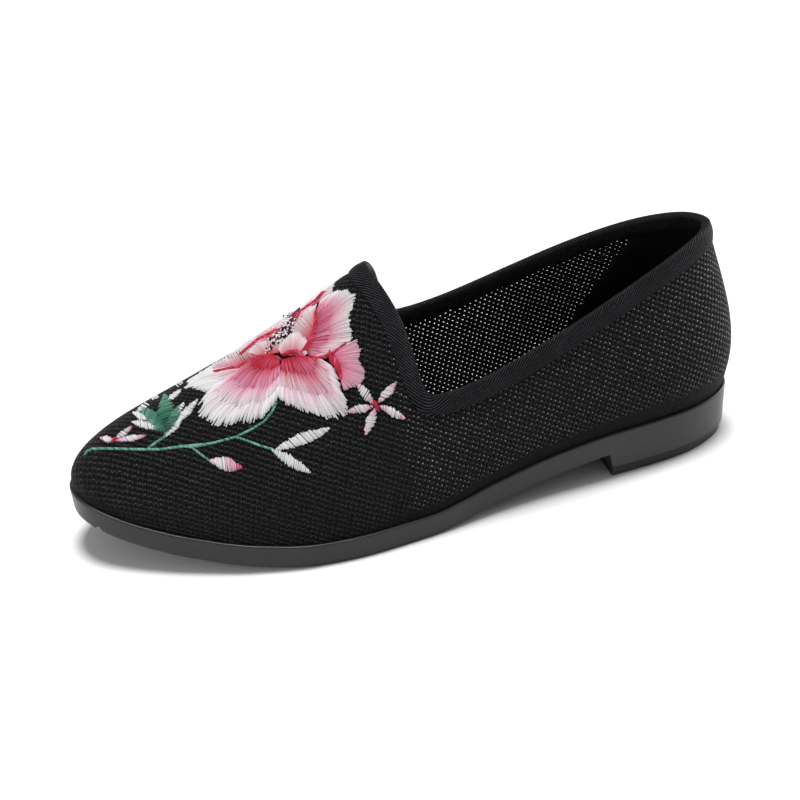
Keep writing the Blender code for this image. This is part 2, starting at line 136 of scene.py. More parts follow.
# Form of the wall from the foot's edge to the top edge, under the ridge and under the collar.
# Columns: share along the foot's edge, lean of the foot's handle outward in ball widths, its rise as a
# share of the wall's height, reach of the top's handle outward in ball widths, and its drop as a share
# of the wall's height.
VAMP_FORM = (
    (1.000, 0.035, 0.400, 0.100, 0.000),
    (0.930, 0.050, 0.450, 0.170, 0.020),
    (0.850, 0.055, 0.500, 0.230, 0.020),
    (0.760, 0.055, 0.500, 0.260, 0.020),
    (0.680, 0.055, 0.480, 0.260, 0.020),
    (0.620, 0.050, 0.440, 0.240, 0.020),
    (0.565, 0.046, 0.420, 0.220, 0.020),
)
QUARTER_FORM = (
    (0.565, 0.046, 0.420, 0.220, 0.020),
    (0.553, 0.043, 0.385, 0.185, 0.130),
    (0.541, 0.040, 0.358, 0.150, 0.215),
    (0.529, 0.038, 0.342, 0.112, 0.270),
    (0.510, 0.036, 0.332, 0.066, 0.310),
    (0.480, 0.036, 0.328, 0.040, 0.325),
    (0.395, 0.036, 0.320, 0.030, 0.340),
    (0.295, 0.042, 0.310, 0.030, 0.350),
    (0.195, 0.052, 0.300, 0.038, 0.350),
    (0.095, 0.066, 0.300, 0.050, 0.350),
    (0.000, 0.112, 0.300, 0.060, 0.360),
)

# Shares of the length between which the walls take up the slope of the toe's ridge
RIDGE_SLOPE_SPAN = (0.80, 0.98)

# Fineness of the meshes
VAMP_STEPS = 14
THROAT_STEPS = 28
COLLAR_STEPS = 20
THROAT_SPAN = (0.62, 0.475)
WALL_STEPS = 11
SOLE_STEPS = 44
CORNER_SHARE = 0.25
INSOLE_STEPS = 36
SMOOTHING = 3


# Camera of the photograph: angles in degrees, distance and target in metres, the rest for an image
# of 800 by 800 pixels.
IMAGE = 800
CAMERA = {"azimuth": 12.93, "elevation": 29.02, "roll": -4.47, "distance": 0.7008, "focal": 1923.9,
          "right": 9.43, "down": 7.13, "target": (0.0, 0.1225, 0.030)}

# Rounded rims of the sole, the inset under its top rim, and the mould's line down the toe's tip: turn,
# width in turns, depth in metres
RIM_ANGLES = (0, 30, 60, 90)
SIDE_STEP = 0.00005
MOULD_LINE = (0.012, 0.0022, 0.00022)
MOULD_TURNS = (0.004, 0.020)

# Heights in millimetres between which painted shade darkens the heel's top piece toward its groove
GROOVE_SHADE = (2.9, 3.2)

# Cloth of the upper.  The weave's pitches and the shift from a hole to its painted glint are in
# millimetres; spans are shares of the length from the heel, the rest is in metres.
CLOTH_FINE = 4
CLOTH_THICKNESS = 0.0004
WEAVE_PITCH = 2.3
WEAVE_ROW = 1.45
HOLE_FROM = 0.84
GLINT_SHIFT = (0.42, 0.36)
OPEN_SPAN = (0.530, 0.550)
BAND_UP = (0.0048, 0.0080)
BAND_SPAN = (0.50, 0.10)
BAND_FADE = 0.0010
WAIST_BAND = (0.54, 0.66)
TOE_BAND = (0.90, 0.96)
TOE_BAND_SHARE = 0.7
PUCKER_PITCH = 0.0031
PUCKER_DRIFT = 0.011
PUCKER_REACH = 0.010
PUCKER_DEPTH = 0.00012

# Tape round the edge: shares of its reach with how proud it stands there, in metres, outside and inside.
# The twill's pitch is in millimetres.
TAPE_OUTSIDE_FORM = ((0.12, 0.00125), (0.30, 0.00130), (0.48, 0.00124), (0.64, 0.00108), (0.77, 0.00088),
                     (0.88, 0.00066), (0.95, 0.00056), (1.00, 0.00046))
TAPE_INSIDE_FORM = ((0.15, 0.00125), (0.40, 0.00120), (0.70, 0.00105), (0.90, 0.00085), (1.00, 0.00060))
FINE_FOLD_ANGLES = (15, 35, 60, 90, 120, 145, 165)
TWILL_PITCH = 0.85
TWILL_SLANT = 0.57
TWILL_STEEP = 0.82
TAPE_LIFT = 0.00012

# Insole's and lining's weaves, in millimetres.  The lining's patch: shares of the climb, reach forward
# and how much the front edge curves, shares of its rim, gap, dome and thickness, flat size in millimetres
INSOLE_WEAVE = 0.7
LINING_RIB = 0.6
LINING_CLIMBS = (0.06, 0.97)
LINING_FRONT = 0.060
LINING_CURVE = 0.038
LINING_RIM = 0.04
LINING_GAP = 0.00012
LINING_DOME = 0.0004
LINING_THICKNESS = 0.00025
LINING_SIZE = (62, 55)

# Threads, in metres: the section is a share of the half width out and of the rise up
THREAD_WIDTH = 0.00048
THREAD_RISE = 0.00022
THREAD_LEAST = 0.00004
THREAD_FORM = ((-1.0, 0.0), (-0.55, 0.8), (0.0, 1.0), (0.55, 0.8), (1.0, 0.0))
LAYER = 0.00018
STITCH_POINTS = 6
STITCH_LENGTH = 0.0060
SHORTEST_STITCH = 0.0004
FOLD_JUMP = 0.002

# Gaps between threads in petals, satin forms and laid lines, in metres, and how far stitches slant,
# overlap and stray, as shares of the form's width, tier or reach
THREAD_GAP = 0.00042
SATIN_GAP = 0.00052
LAID_GAP = 0.00036
SATIN_SLANT = 0.32
LAID_SLANT = 1.3
SATIN_BLUNT = 0.12
RAGGED = (0.72, 1.12)
TIER_OVERLAP = (0.05, 0.45)
TIER_END = (-0.14, 0.10)
EDGE_END = (-0.07, 0.02)
PETAL_GAIN = (0.80, 1.08)

# How much nearer than its target the camera sees the vamp
VAMP_NEARER = 0.985

# Thread colours
CRIMSON = (0.420, 0.012, 0.034)
RED = (0.560, 0.022, 0.055)
ROSE = (0.700, 0.085, 0.200)
PINK = (0.800, 0.280, 0.470)
BLUSH = (0.840, 0.560, 0.680)
WHITE = (0.880, 0.880, 0.885)
DARK_GREEN = (0.018, 0.090, 0.058)
GREEN = (0.045, 0.190, 0.125)
MINT = (0.200, 0.430, 0.330)
BLACK = (0.006, 0.006, 0.007)

# Drawings that the embroidery is laid out in.  Columns: the photograph's pixel at the drawing's
# corner (across, down), and drawing units a pixel.
DRAWINGS = {
    "flower": (185.0, 270.0, 8.04),
    "leaf": (60.0, 370.0, 10.45),
    "branch": (180.0, 400.0, 6.53),
    "photo": (0.0, 0.0, 1.0),
}

# Runs of colour from a stitch row's base to its edge: share of the way, colour
RED_TO_WHITE = ((0.00, CRIMSON), (0.12, RED), (0.24, RED), (0.33, ROSE), (0.45, PINK), (0.60, BLUSH),
                (0.70, WHITE), (1.0, WHITE))
PALE_RUN = ((0.00, RED), (0.10, ROSE), (0.25, PINK), (0.42, BLUSH), (0.56, WHITE), (1.0, WHITE))
ROSE_RUN = ((0.00, RED), (0.20, ROSE), (0.50, PINK), (0.75, BLUSH), (0.92, WHITE), (1.0, WHITE))
TOP_RUN = ((0.00, CRIMSON), (0.14, RED), (0.26, ROSE), (0.50, PINK), (0.66, BLUSH), (0.74, WHITE),
           (1.0, WHITE))
PINK_RUN = ((0.00, ROSE), (0.30, PINK), (0.70, PINK), (1.0, BLUSH))
ARM_RUN = ((0.00, PINK), (0.15, BLUSH), (0.50, WHITE), (0.85, BLUSH), (1.0, PINK))
BUD_RUN = ((0.00, BLUSH), (0.35, WHITE), (0.60, BLUSH), (1.0, ROSE))
WHITE_RUN = ((0.00, WHITE), (1.0, WHITE))
GREEN_RUN = ((0.00, DARK_GREEN), (0.45, GREEN), (1.0, MINT))

# Petals from the far ones to the near ones.  Columns: layer, colours, points of the base and
# of the edge in the flower's drawing, in the same order.
PETALS = (
    (1, ROSE_RUN, ((850, 430), (930, 350), (1010, 300)),
     ((960, 300), (1050, 205), (1130, 120), (1205, 105), (1190, 190))),
    (1, PINK_RUN, ((480, 672), (600, 620), (690, 570), (765, 500)),
     ((370, 662), (480, 585), (600, 525), (700, 490), (775, 462))),
    (2, PALE_RUN, ((235, 835), (430, 790), (620, 690)),
     ((215, 765), (330, 690), (450, 622), (540, 600))),
    (3, PALE_RUN, ((560, 735), (590, 775), (600, 830)),
     ((240, 830), (120, 825), (60, 880), (50, 940), (110, 965), (190, 990))),
    (4, ROSE_RUN, ((620, 700), (690, 685), (760, 670)),
     ((500, 668), (570, 600), (650, 560), (730, 540), (790, 560))),
    (3, PALE_RUN, ((1040, 380), (1045, 450), (1020, 540), (960, 620)),
     ((1060, 275), (960, 335), (880, 420), (850, 480), (890, 530))),
    (4, TOP_RUN, ((1060, 350), (1050, 450), (1020, 560), (970, 640), (1000, 695)),
     ((1110, 235), (1190, 190), (1250, 160), (1320, 160), (1370, 200), (1375, 260), (1345, 330), (1330, 370),
      (1345, 500), (1360, 560), (1290, 590), (1240, 630), (1190, 690), (1100, 712))),
    (5, PINK_RUN, ((1100, 708), (1190, 700), (1240, 770), (1255, 880)),
     ((1290, 600), (1390, 560), (1420, 640), (1400, 720), (1450, 820), (1445, 880), (1400, 920), (1370, 940),
      (1280, 970))),
    (5, PALE_RUN, ((790, 700), (880, 690), (965, 705)),
     ((755, 640), (795, 560), (860, 510), (930, 490), (985, 560), (990, 620), (985, 680))),
    (6, RED_TO_WHITE, ((790, 725), (870, 705), (960, 695), (1045, 712)),
     ((765, 1045), (800, 1075), (870, 1110), (1000, 1150), (1150, 1205), (1230, 1190), (1310, 1150),
      (1300, 1050), (1250, 960), (1240, 870), (1190, 780), (1100, 722))),
    (7, RED_TO_WHITE, ((640, 690), (700, 700), (775, 712)),
     ((190, 985), (115, 1090), (120, 1170), (180, 1235), (330, 1265), (430, 1225), (520, 1235), (620, 1200),
      (700, 1110), (775, 1010))),
)

# Petals on the side that the photograph hides.  Columns as above; the points are across and along in
# millimetres, seen from above.
HIDDEN_PETALS = (
    (1, RED_TO_WHITE, ((4, 172), (3, 176), (2, 180)), ((-5, 202), (-11, 200), (-13, 193), (-12, 186))),
    (2, RED_TO_WHITE, ((1, 164), (0, 169), (1, 175)),
     ((-13, 184), (-18, 177), (-19, 169), (-16, 162), (-11, 158))),
    (1, PALE_RUN, ((1, 158), (0, 161), (1, 165)),
     ((-10, 157), (-14, 151), (-12, 145), (-7, 142))),
)

# Slim leaves, lobes, buds and the arms of the small flowers, in satin stitches across their length.
# Columns: colours, drawing, and rows of layer, start, end and half width.
SPINDLES = (
    (WHITE_RUN, "leaf", (
        (1, (1050, 605), (750, 545), 42),
        (1, (915, 520), (760, 445), 34),
        (1, (800, 450), (1000, 268), 34),
        (1, (960, 310), (1285, 128), 36),
        (1, (1120, 330), (1265, 205), 30),
        (1, (1105, 695), (1275, 500), 42),
        (1, (1215, 560), (1440, 308), 40),
        (1, (1190, 490), (1300, 340), 28),
    )),
    (GREEN_RUN, "leaf", (
        (2, (1125, 655), (850, 400), 74),
        (2, (1120, 650), (930, 525), 50),
        (3, (1125, 655), (1095, 262), 92),
        (3, (1130, 650), (1242, 385), 62),
    )),
    (BUD_RUN, "branch", ((3, (196, 398), (408, 440), 42),)),
    (WHITE_RUN, "branch", ((2, (625, 326), (980, 182), 40), (2, (600, 326), (852, 474), 36))),
    (ARM_RUN, "leaf", (
        (3, (585, 738), (425, 718), 32),
        (3, (575, 740), (755, 595), 30),
        (3, (590, 745), (900, 690), 32),
    )),
    (ARM_RUN, "photo", (
        (3, (374, 404), (356, 382.5), 4.6),
        (3, (378, 403), (396, 382), 4.4),
        (3, (379, 406), (405, 418.5), 4.4),
        (3, (375, 408), (365.5, 435), 4.6),
        (3, (373, 406), (347, 412), 4.4),
    )),
)

# Laid lines: stems in greens, and the red lines and spots between the petals.  Columns: layer,
# drawing, width in millimetres at the start and at the end, points.
STEM_COLOURS = (GREEN, GREEN, MINT, MINT, MINT)
RED_COLOURS = (CRIMSON, RED, RED, ROSE)
STEMS = (
    (1, "leaf", (0.75, 0.8), ((262, 890), (285, 850), (340, 826), (450, 822), (620, 824), (800, 830),
                              (1050, 830), (1270, 800), (1420, 785), (1568, 770))),
    (1, "branch", (0.8, 0.7), ((0, 300), (80, 308), (220, 280), (370, 240), (470, 190), (550, 140),
                               (600, 80), (632, 15))),
    (1, "leaf", (0.65, 1.1), ((930, 815), (1010, 755), (1095, 700), (1120, 650))),
    (1, "branch", (0.65, 0.65), ((80, 312), (130, 350), (200, 402))),
    (1, "branch", (0.7, 0.65), ((370, 242), (450, 270), (530, 300), (618, 325))),
)
ACCENTS = (
    (6, "flower", (0.7, 1.6), ((240, 828), (330, 810), (430, 788), (530, 750), (640, 695))),
    (5, "flower", (0.7, 1.3), ((450, 690), (530, 620), (600, 565), (690, 520), (765, 482))),
    (6, "flower", (1.0, 2.6), ((1062, 345), (1060, 430), (1045, 520), (1005, 600), (965, 660))),
    (7, "flower", (1.6, 0.8), ((1050, 722), (1130, 700), (1200, 670), (1290, 600))),
    (7, "flower", (3.0, 1.0), ((1165, 690), (1215, 750), (1240, 810), (1258, 870))),
    (6, "flower", (1.2, 2.2), ((800, 692), (850, 668), (905, 664), (960, 690))),
    (3, "flower", (0.8, 1.2), ((865, 385), (950, 325), (1050, 255), (1120, 180))),
    (8, "flower", (2.6, 1.6), ((640, 720), (700, 712), (775, 722))),
    (6, "photo", (2.4, 2.4), ((373.5, 404.0), (378.0, 407.0))),
    (6, "leaf", (1.2, 0.8), ((560, 760), (575, 735), (600, 722))),
)

# Stamens of the flower: middle line and spread in its drawing, count, radius in metres, layer, colours,
# and a knot's section: height and width in radii
STAMENS = ((690, 630), (735, 590), (775, 550), (805, 500), (845, 455), (870, 410))
STAMEN_SPREAD = 25.0
STAMEN_COUNT = 150
STAMEN_SIZE = (0.00028, 0.00048)
STAMEN_LAYER = 6.5
STAMEN_COLOURS = (WHITE, WHITE, BLUSH, BLACK, BLACK)
KNOT_FORM = ((-0.2, 0.75), (0.45, 1.0), (1.0, 0.6))
KNOT_SIDES = 6

# Studio: strength of the pale surroundings, the light from above, and the lights past the shoe's ends
# with their place, aim, size and power
WORLD_STRENGTH = 0.32
OVERHEAD_POWER = 3.0
OVERHEAD_ANGLE = math.radians(16)
OVERHEAD_TURN = (math.radians(-2), math.radians(-3), 0)
END_LIGHTS = (
    ("toe_end", (0.2, -1.2, 0.35), (0, -0.1, 0.02), 0.6, 4.0),
    ("heel_end", (-0.3, 1.2, 0.35), (0, 0.1, 0.04), 0.6, 10.0),
)
FLOOR_HALF = 6.0

rng = random.Random(11)


def monotone(knots, values, at):
    """Smooth curve through the values that never swings past them."""
    gaps = np.diff(knots)
    slopes = np.diff(values) / gaps
    tangents = np.zeros(len(knots))
    tangents[0] = slopes[0]
    tangents[-1] = slopes[-1]
    for i in range(1, len(slopes)):
        before, after = slopes[i - 1], slopes[i]
        if before * after > 0:
            near, far = 2 * gaps[i] + gaps[i - 1], gaps[i] + 2 * gaps[i - 1]
            tangents[i] = (near + far) / (near / before + far / after)
    at = np.asarray(at, float)
    i = np.clip(np.searchsorted(knots, at) - 1, 0, len(gaps) - 1)
    t = (at - knots[i]) / gaps[i]
    value = (1 + 2 * t) * (1 - t) ** 2 * values[i] + t * (1 - t) ** 2 * gaps[i] * tangents[i]
    return value + t * t * (3 - 2 * t) * values[i + 1] + t * t * (t - 1) * gaps[i] * tangents[i + 1]


def turn_of(share):
    """Turn of the outer side at a share of the length."""
    return np.arccos(np.clip(2 * np.asarray(share, float) - 1, -1, 1)) / math.pi


def share_of(turn):
    """Share of the length at a turn of either side."""
    return (1 + np.cos(math.pi * np.asarray(turn, float))) / 2


def around(turns, outer, inner, turn):
    """Value at a turn, from a column for the outer side and one for the inner side.

    The columns start at turn 0 and end at turn 1, where both sides join smoothly.
    """
    knots = np.concatenate([-turns[::-1][:-1], turns])
    values = np.concatenate([np.asarray(inner)[::-1][:-1], np.asarray(outer)])
    lap = 2.0
    knots = np.concatenate([knots[-4:-1] - lap, knots, knots[1:4] + lap])
    values = np.concatenate([values[-4:-1], values, values[1:4]])
    return monotone(knots, values, turn)


def behind_peak(turns, column, turn):
    """Value at a turn of 0 at the peak to 1 at the heel, where both sides join smoothly."""
    knots = np.append(turns, 2 - turns[-2:-4:-1])
    return monotone(knots, np.append(column, column[-2:-4:-1]), abs(turn))


def sole_bottom(along):
    """Height of the band's underside at a distance from the heel's back."""
    share, outer, inner, heel_part, toe_part = np.array(OUTLINE)[::-1].T
    at = np.clip(np.asarray(along) / SOLE_LENGTH, 0, 1)
    heel_lift = HEEL_HEIGHT - BAND_HEIGHT
    return heel_lift * monotone(share, heel_part, at) + TOE_SPRING * monotone(share, toe_part, at)


def sole_top(along):
    """Height of the band's top edge."""
    return sole_bottom(along) + BAND_HEIGHT


def sole_edge(turn, inset=0.0):
    """Across and along of the sole's outline at a turn, moved inward by the inset."""
    share, outer, inner, heel_part, toe_part = np.array(OUTLINE).T
    step = 1e-4

    def bare(at):
        across = BALL_WIDTH * around(turn_of(share), outer, -inner, at)
        return np.stack([across, SOLE_LENGTH * share_of(at)], axis=-1)

    turn = np.asarray(turn, float)
    tangent = bare(turn + step) - bare(turn - step)
    tangent /= np.linalg.norm(tangent, axis=-1, keepdims=True)
    inward = np.stack([tangent[..., 1], -tangent[..., 0]], axis=-1)
    return bare(turn) + inward * np.asarray(inset)[..., None]


def peak_turn():
    """Turn of the section that ends at the tongue's peak."""
    return float(turn_of(COLLAR[0][0]))


def ridge_slope(turn):
    """Slope of the ridge over the toes, which the walls there follow; none toward the throat."""
    front, behind = np.array(RIDGE)[[0, 2]]
    slope = (front[3] - behind[3]) * INSTEP_HEIGHT / ((front[1] - behind[1]) * SOLE_LENGTH)
    start, full = RIDGE_SLOPE_SPAN
    return slope * np.clip((share_of(turn) - start) / (full - start), 0, 1)


def ridge(turn):
    """Across, along and up of the ridge at a turn of either side ahead of the peak."""
    share, along, across, high = np.array(RIDGE).T
    knots = turn_of(share) / peak_turn()
    at = np.minimum(abs(turn) / peak_turn(), 1)
    across, along, high = (around(knots, column, column, at) for column in (across, along, high))
    return np.stack([BALL_WIDTH * across, SOLE_LENGTH * along, INSTEP_HEIGHT * high], axis=-1)


def collar(turn):
    """Across, along and up of the collar's edge at a turn of either side behind the peak."""
    share, along, outer, inner, outer_high, inner_high = np.array(COLLAR).T
    knots = (turn_of(share) - peak_turn()) / (1 - peak_turn())
    at = np.sign(turn) * np.maximum(abs(turn) - peak_turn(), 0) / (1 - peak_turn())
    across = around(knots, outer, inner, at)
    along = around(knots, along, along, at)
    high = around(knots, outer_high, inner_high, at)
    return np.stack([BALL_WIDTH * across, SOLE_LENGTH * along, INSTEP_HEIGHT * high], axis=-1)


def wall_form(turn):
    """Lean, rise, reach and drop of the wall's handles at each turn."""
    vamp_share, *vamp = np.array(VAMP_FORM).T
    quarter_share, *quarter = np.array(QUARTER_FORM).T
    vamp_knots = turn_of(vamp_share) / peak_turn()
    quarter_knots = (turn_of(quarter_share) - peak_turn()) / (1 - peak_turn())
    ahead = np.minimum(abs(turn) / peak_turn(), 1)
    behind = np.maximum(abs(turn) - peak_turn(), 0) / (1 - peak_turn())
    form = []
    for front, back in zip(vamp, quarter):
        front = around(vamp_knots, front, front, ahead)
        back = behind_peak(quarter_knots, back, behind)
        form.append(np.where(abs(turn) <= peak_turn(), front, back)[..., None])
    return form


def wall_frame(turn):
    """The four handles of the wall's curve at each turn, from the foot's edge to the top edge."""
    turn = np.asarray(turn, float)
    foot = np.zeros(turn.shape + (3,))
    foot[..., :2] = sole_edge(turn, FEATHER_INSET)
    foot[..., 2] = sole_top(SOLE_LENGTH * share_of(turn)) + CLEARANCE
    top = np.where(abs(turn)[..., None] <= peak_turn(), ridge(turn), collar(turn))
    lean, rise, reach, drop = wall_form(turn)
    high = (top - foot)[..., 2:]
    outward = sole_edge(turn) - foot[..., :2]
    outward /= np.linalg.norm(outward, axis=-1, keepdims=True)
    over = (foot - top)[..., :2]
    over /= np.linalg.norm(over, axis=-1, keepdims=True)
    foot_handle = foot + np.concatenate([outward * lean * BALL_WIDTH, rise * high], axis=-1)
    out = over * reach * BALL_WIDTH
    fall = -drop * high + ridge_slope(turn)[..., None] * out[..., 1:]
    top_handle = top + np.concatenate([out, fall], axis=-1)
    return foot, foot_handle, top_handle, top


def upper_surface(turn, climb):
    """Points of the upper's outer face: across, along and up, at a turn and a climb of 0 to 1."""
    foot, foot_handle, top_handle, top = wall_frame(turn)
    v = np.asarray(climb, float)[..., None]
    lower = (1 - v) ** 3 * foot + 3 * v * (1 - v) ** 2 * foot_handle
    return lower + 3 * v * v * (1 - v) * top_handle + v ** 3 * top


def upper_turns(fine=1):
    """Turns of the upper's sections on the outer side, closer together at the throat."""
    ends = (0.0, float(turn_of(THROAT_SPAN[0])), float(turn_of(THROAT_SPAN[1])), 1.0)
    steps = (VAMP_STEPS, THROAT_STEPS, COLLAR_STEPS)
    spans = [np.linspace(ends[i], ends[i + 1], steps[i] * fine + 1)[:-1] for i in range(3)]
    return np.unique(np.append(np.concatenate(spans), [1.0, peak_turn()]))


def upper_grid(fine=1):
    """Outer face of the upper: a mesh of both walls, and the points of its collar edge in order."""
    mesh = bmesh.new()
    turns = upper_turns(fine)
    climbs = np.linspace(0, 1, WALL_STEPS * fine + 1)
    walls = []
    for side in (1, -1):
        grid, rows = np.meshgrid(side * turns, climbs, indexing="ij")
        wall = []
        for i, row in enumerate(in_world(upper_surface(grid, rows))):
            seam = side < 0 and i in (0, len(turns) - 1)
            verts = [walls[0][i][j] if seam else mesh.verts.new(row[j]) for j in range(len(row) - 1)]
            ridge_seam = side < 0 and (seam or turns[i] <= peak_turn())
            wall.append(verts + [walls[0][i][-1] if ridge_seam else mesh.verts.new(row[-1])])
        walls.append(wall)
        for i in range(len(turns) - 1):
            for j in range(len(climbs) - 1):
                corners = [wall[i][j], wall[i + 1][j], wall[i + 1][j + 1], wall[i][j + 1]]
                mesh.faces.new(corners[::side])
    peak = int(np.searchsorted(turns, peak_turn()))
    loop = [row[-1] for row in walls[0][peak:]] + [row[-1] for row in walls[1][peak + 1:-1][::-1]]
    relax(mesh, [row[0] for wall in walls for row in wall], SMOOTHING * fine ** 2)
    return mesh, [vert.co.copy() for vert in loop]


def relax(mesh, fixed, rounds):
    """Even the surface out: inner points over it, edge points along the edge, and not the fixed ones."""
    mesh.verts.index_update()
    held = {vert.index for vert in fixed}
    links = []
    for edge in mesh.edges:
        for vert in edge.verts:
            if vert.index not in held and (edge.is_boundary or not vert.is_boundary):
                links.append((vert.index, edge.other_vert(vert).index))
    moved, beside = np.array(links).T
    count = np.bincount(moved, minlength=len(mesh.verts))[:, None]
    place = np.array([vert.co for vert in mesh.verts])
    free = count[:, 0] > 0
    for _ in range(rounds):
        total = np.zeros_like(place)
        np.add.at(total, moved, place[beside])
        place[free] = (place[free] + total[free] / count[free]) / 2
    for vert, spot in zip(mesh.verts, place):
        vert.co = spot
    mesh.normal_update()


def tread(along):
    """Depth of the tread's cross grooves under the forefoot at a distance from the heel's back."""
    first, last = (share * SOLE_LENGTH for share in TREAD_SPAN)
    depth = np.zeros_like(along)
    for start in np.arange(first, last - TREAD_WIDTH, TREAD_PITCH):
        rise = np.minimum(along - start, start + TREAD_WIDTH - along) / TREAD_RAMP
        depth = np.maximum(depth, TREAD_DEPTH * np.clip(rise, 0, 1))
    return depth


def outsole_turns():
    """Turns of the outsole's sections, with the corners of the tread and of the heel's breast."""
    first, last = (share * SOLE_LENGTH for share in TREAD_SPAN)
    corners = [HEEL_BREAST, HEEL_BREAST - BREAST_SLOPE]
    for start in np.arange(first, last - TREAD_WIDTH, TREAD_PITCH):
        end = start + TREAD_WIDTH
        corners += [start, start + TREAD_RAMP, end - TREAD_RAMP, end]
    corners = turn_of(np.array(corners) / SOLE_LENGTH)
    plain = np.linspace(0, 1, SOLE_STEPS + 1)
    near = np.abs(plain[:, None] - corners[None, :]).min(axis=1)
    plain = plain[(near > CORNER_SHARE / SOLE_STEPS) | (plain == 0) | (plain == 1)]
    return np.sort(np.concatenate([plain, corners]))


def underside(turns, rim=True):
    """Height of the outsole's underside at its rim, or inside it, where the tread runs."""
    along = SOLE_LENGTH * share_of(turns)
    depth = tread(along)
    if rim:
        depth = np.where(along > TOE_NOTCH_FROM * SOLE_LENGTH, depth, 0)
    open_part = sole_bottom(along) + depth
    heel_seat = TOP_PIECE_HEIGHT + CLEARANCE
    heel_part = np.clip((HEEL_BREAST - along) / BREAST_SLOPE, 0, 1)
    return open_part + heel_part * (heel_seat - open_part)


def taper(turns, height):
    """How far the sole's side has come in at a height below its top edge."""
    return SIDE_TAPER * (sole_top(SOLE_LENGTH * share_of(turns)) - height)


def plate(turns, levels):
    """Closed loft whose rings follow the sole's outline.

    The turns are those of the outer side, from 0 to 1.  Each level is a pair of functions of the turns:
    the inset and the height.
    """
    mesh = bmesh.new()
    rings = []
    for inset, height in levels:
        sides = {}
        for side in (1, -1):
            place = sole_edge(side * turns, inset(turns))
            points = np.column_stack([place, height(turns, place[:, 1])])
            sides[side] = [mesh.verts.new(point) for point in in_world(points)]
        for end in (0, -1):
            mesh.verts.remove(sides[-1][end])
            sides[-1][end] = sides[1][end]
        rings.append(sides)
    for low, high in zip(rings, rings[1:]):
        for side in (1, -1):
            for k in range(len(turns) - 1):
                corners = [low[side][k], low[side][k + 1], high[side][k + 1], high[side][k]]
                mesh.faces.new(corners[::side])
    for sides, direction in ((rings[0], -1), (rings[-1], 1)):
        for k in range(len(turns) - 1):
            corners = [sides[1][k], sides[1][k + 1], sides[-1][k + 1], sides[-1][k]]
            corners = list(dict.fromkeys(corners))
            mesh.faces.new(corners[::direction])
    mesh.normal_update()
    return mesh


def edge_frames(edge, face_tree):
    """Points of the collar's edge, with directions down the wall and outward normals there."""
    points = np.array(edge)
    ahead = np.roll(points, -1, axis=0) - np.roll(points, 1, axis=0)
    facing = np.array([face_tree.find_nearest(point)[1] for point in edge])
    facing = facing + (np.roll(facing, -1, axis=0) + np.roll(facing, 1, axis=0)) / 2
    facing -= ahead * (np.sum(facing * ahead, axis=1) / np.sum(ahead * ahead, axis=1))[:, None]
    down = np.cross(ahead, facing)
    return [(Vector(point), Vector(fall).normalized(), Vector(normal).normalized())
            for point, fall, normal in zip(points, down, facing)]


def frame_offset():
    """Across, along-the-foot and up of the part's own zero in the frame, from the outsole's box."""
    low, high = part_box("outsole")
    edge = sole_edge(np.linspace(-1, 1, 2001))
    middle = (edge.min(axis=0) + edge.max(axis=0)) / 2
    return np.array([(low[0] + high[0]) / 2 - middle[0], (low[1] + high[1]) / 2 + middle[1], 0.0])


def in_world(points):
    """Across, along, up to X, Y, Z of the frame."""
    points = np.array(points, float)
    points[..., 1] = -points[..., 1]
    return points + OFFSET


def clamped(value, low=0.0, high=1.0):
    """The value, held between two limits."""
    return min(max(value, low), high)


def camera_axes():
    """Right, up and back of the camera, with its roll."""
    azimuth, elevation, roll = (math.radians(CAMERA[key]) for key in ("azimuth", "elevation", "roll"))
    back = np.array([math.cos(azimuth) * math.cos(elevation), -math.sin(azimuth) * math.cos(elevation),
                     math.sin(elevation)])
    right = np.array([math.sin(azimuth), math.cos(azimuth), 0.0])
    up = np.cross(back, right)
    across = math.cos(roll) * right + math.sin(roll) * up
    above = math.cos(roll) * up - math.sin(roll) * right
    return across, above, back


def camera_place():
    """Where the camera stands."""
    return Vector(in_world(CAMERA["target"]) + camera_axes()[2] * CAMERA["distance"])


def add_camera():
    """Camera at the photograph's angle."""
    data = bpy.data.cameras.new("camera")
    data.sensor_fit = "HORIZONTAL"
    data.sensor_width = 36.0
    data.lens = CAMERA["focal"] / IMAGE * data.sensor_width
    data.shift_x = -CAMERA["right"] / IMAGE
    data.shift_y = CAMERA["down"] / IMAGE
    data.clip_end = 20.0
    made = bpy.data.objects.new("camera", data)
    bpy.context.scene.collection.objects.link(made)
    turn = Matrix(camera_axes()).transposed().to_4x4()
    turn.translation = camera_place()
    made.matrix_world = turn
    bpy.context.scene.camera = made


def pixel_ray(pixel):
    """Direction from the camera through a pixel of the photograph."""
    across, above, back = camera_axes()
    right = (pixel[0] - IMAGE / 2 - CAMERA["right"]) / CAMERA["focal"]
    high = -(pixel[1] - IMAGE / 2 - CAMERA["down"]) / CAMERA["focal"]
    return Vector(right * across + high * above - back)


# Materials


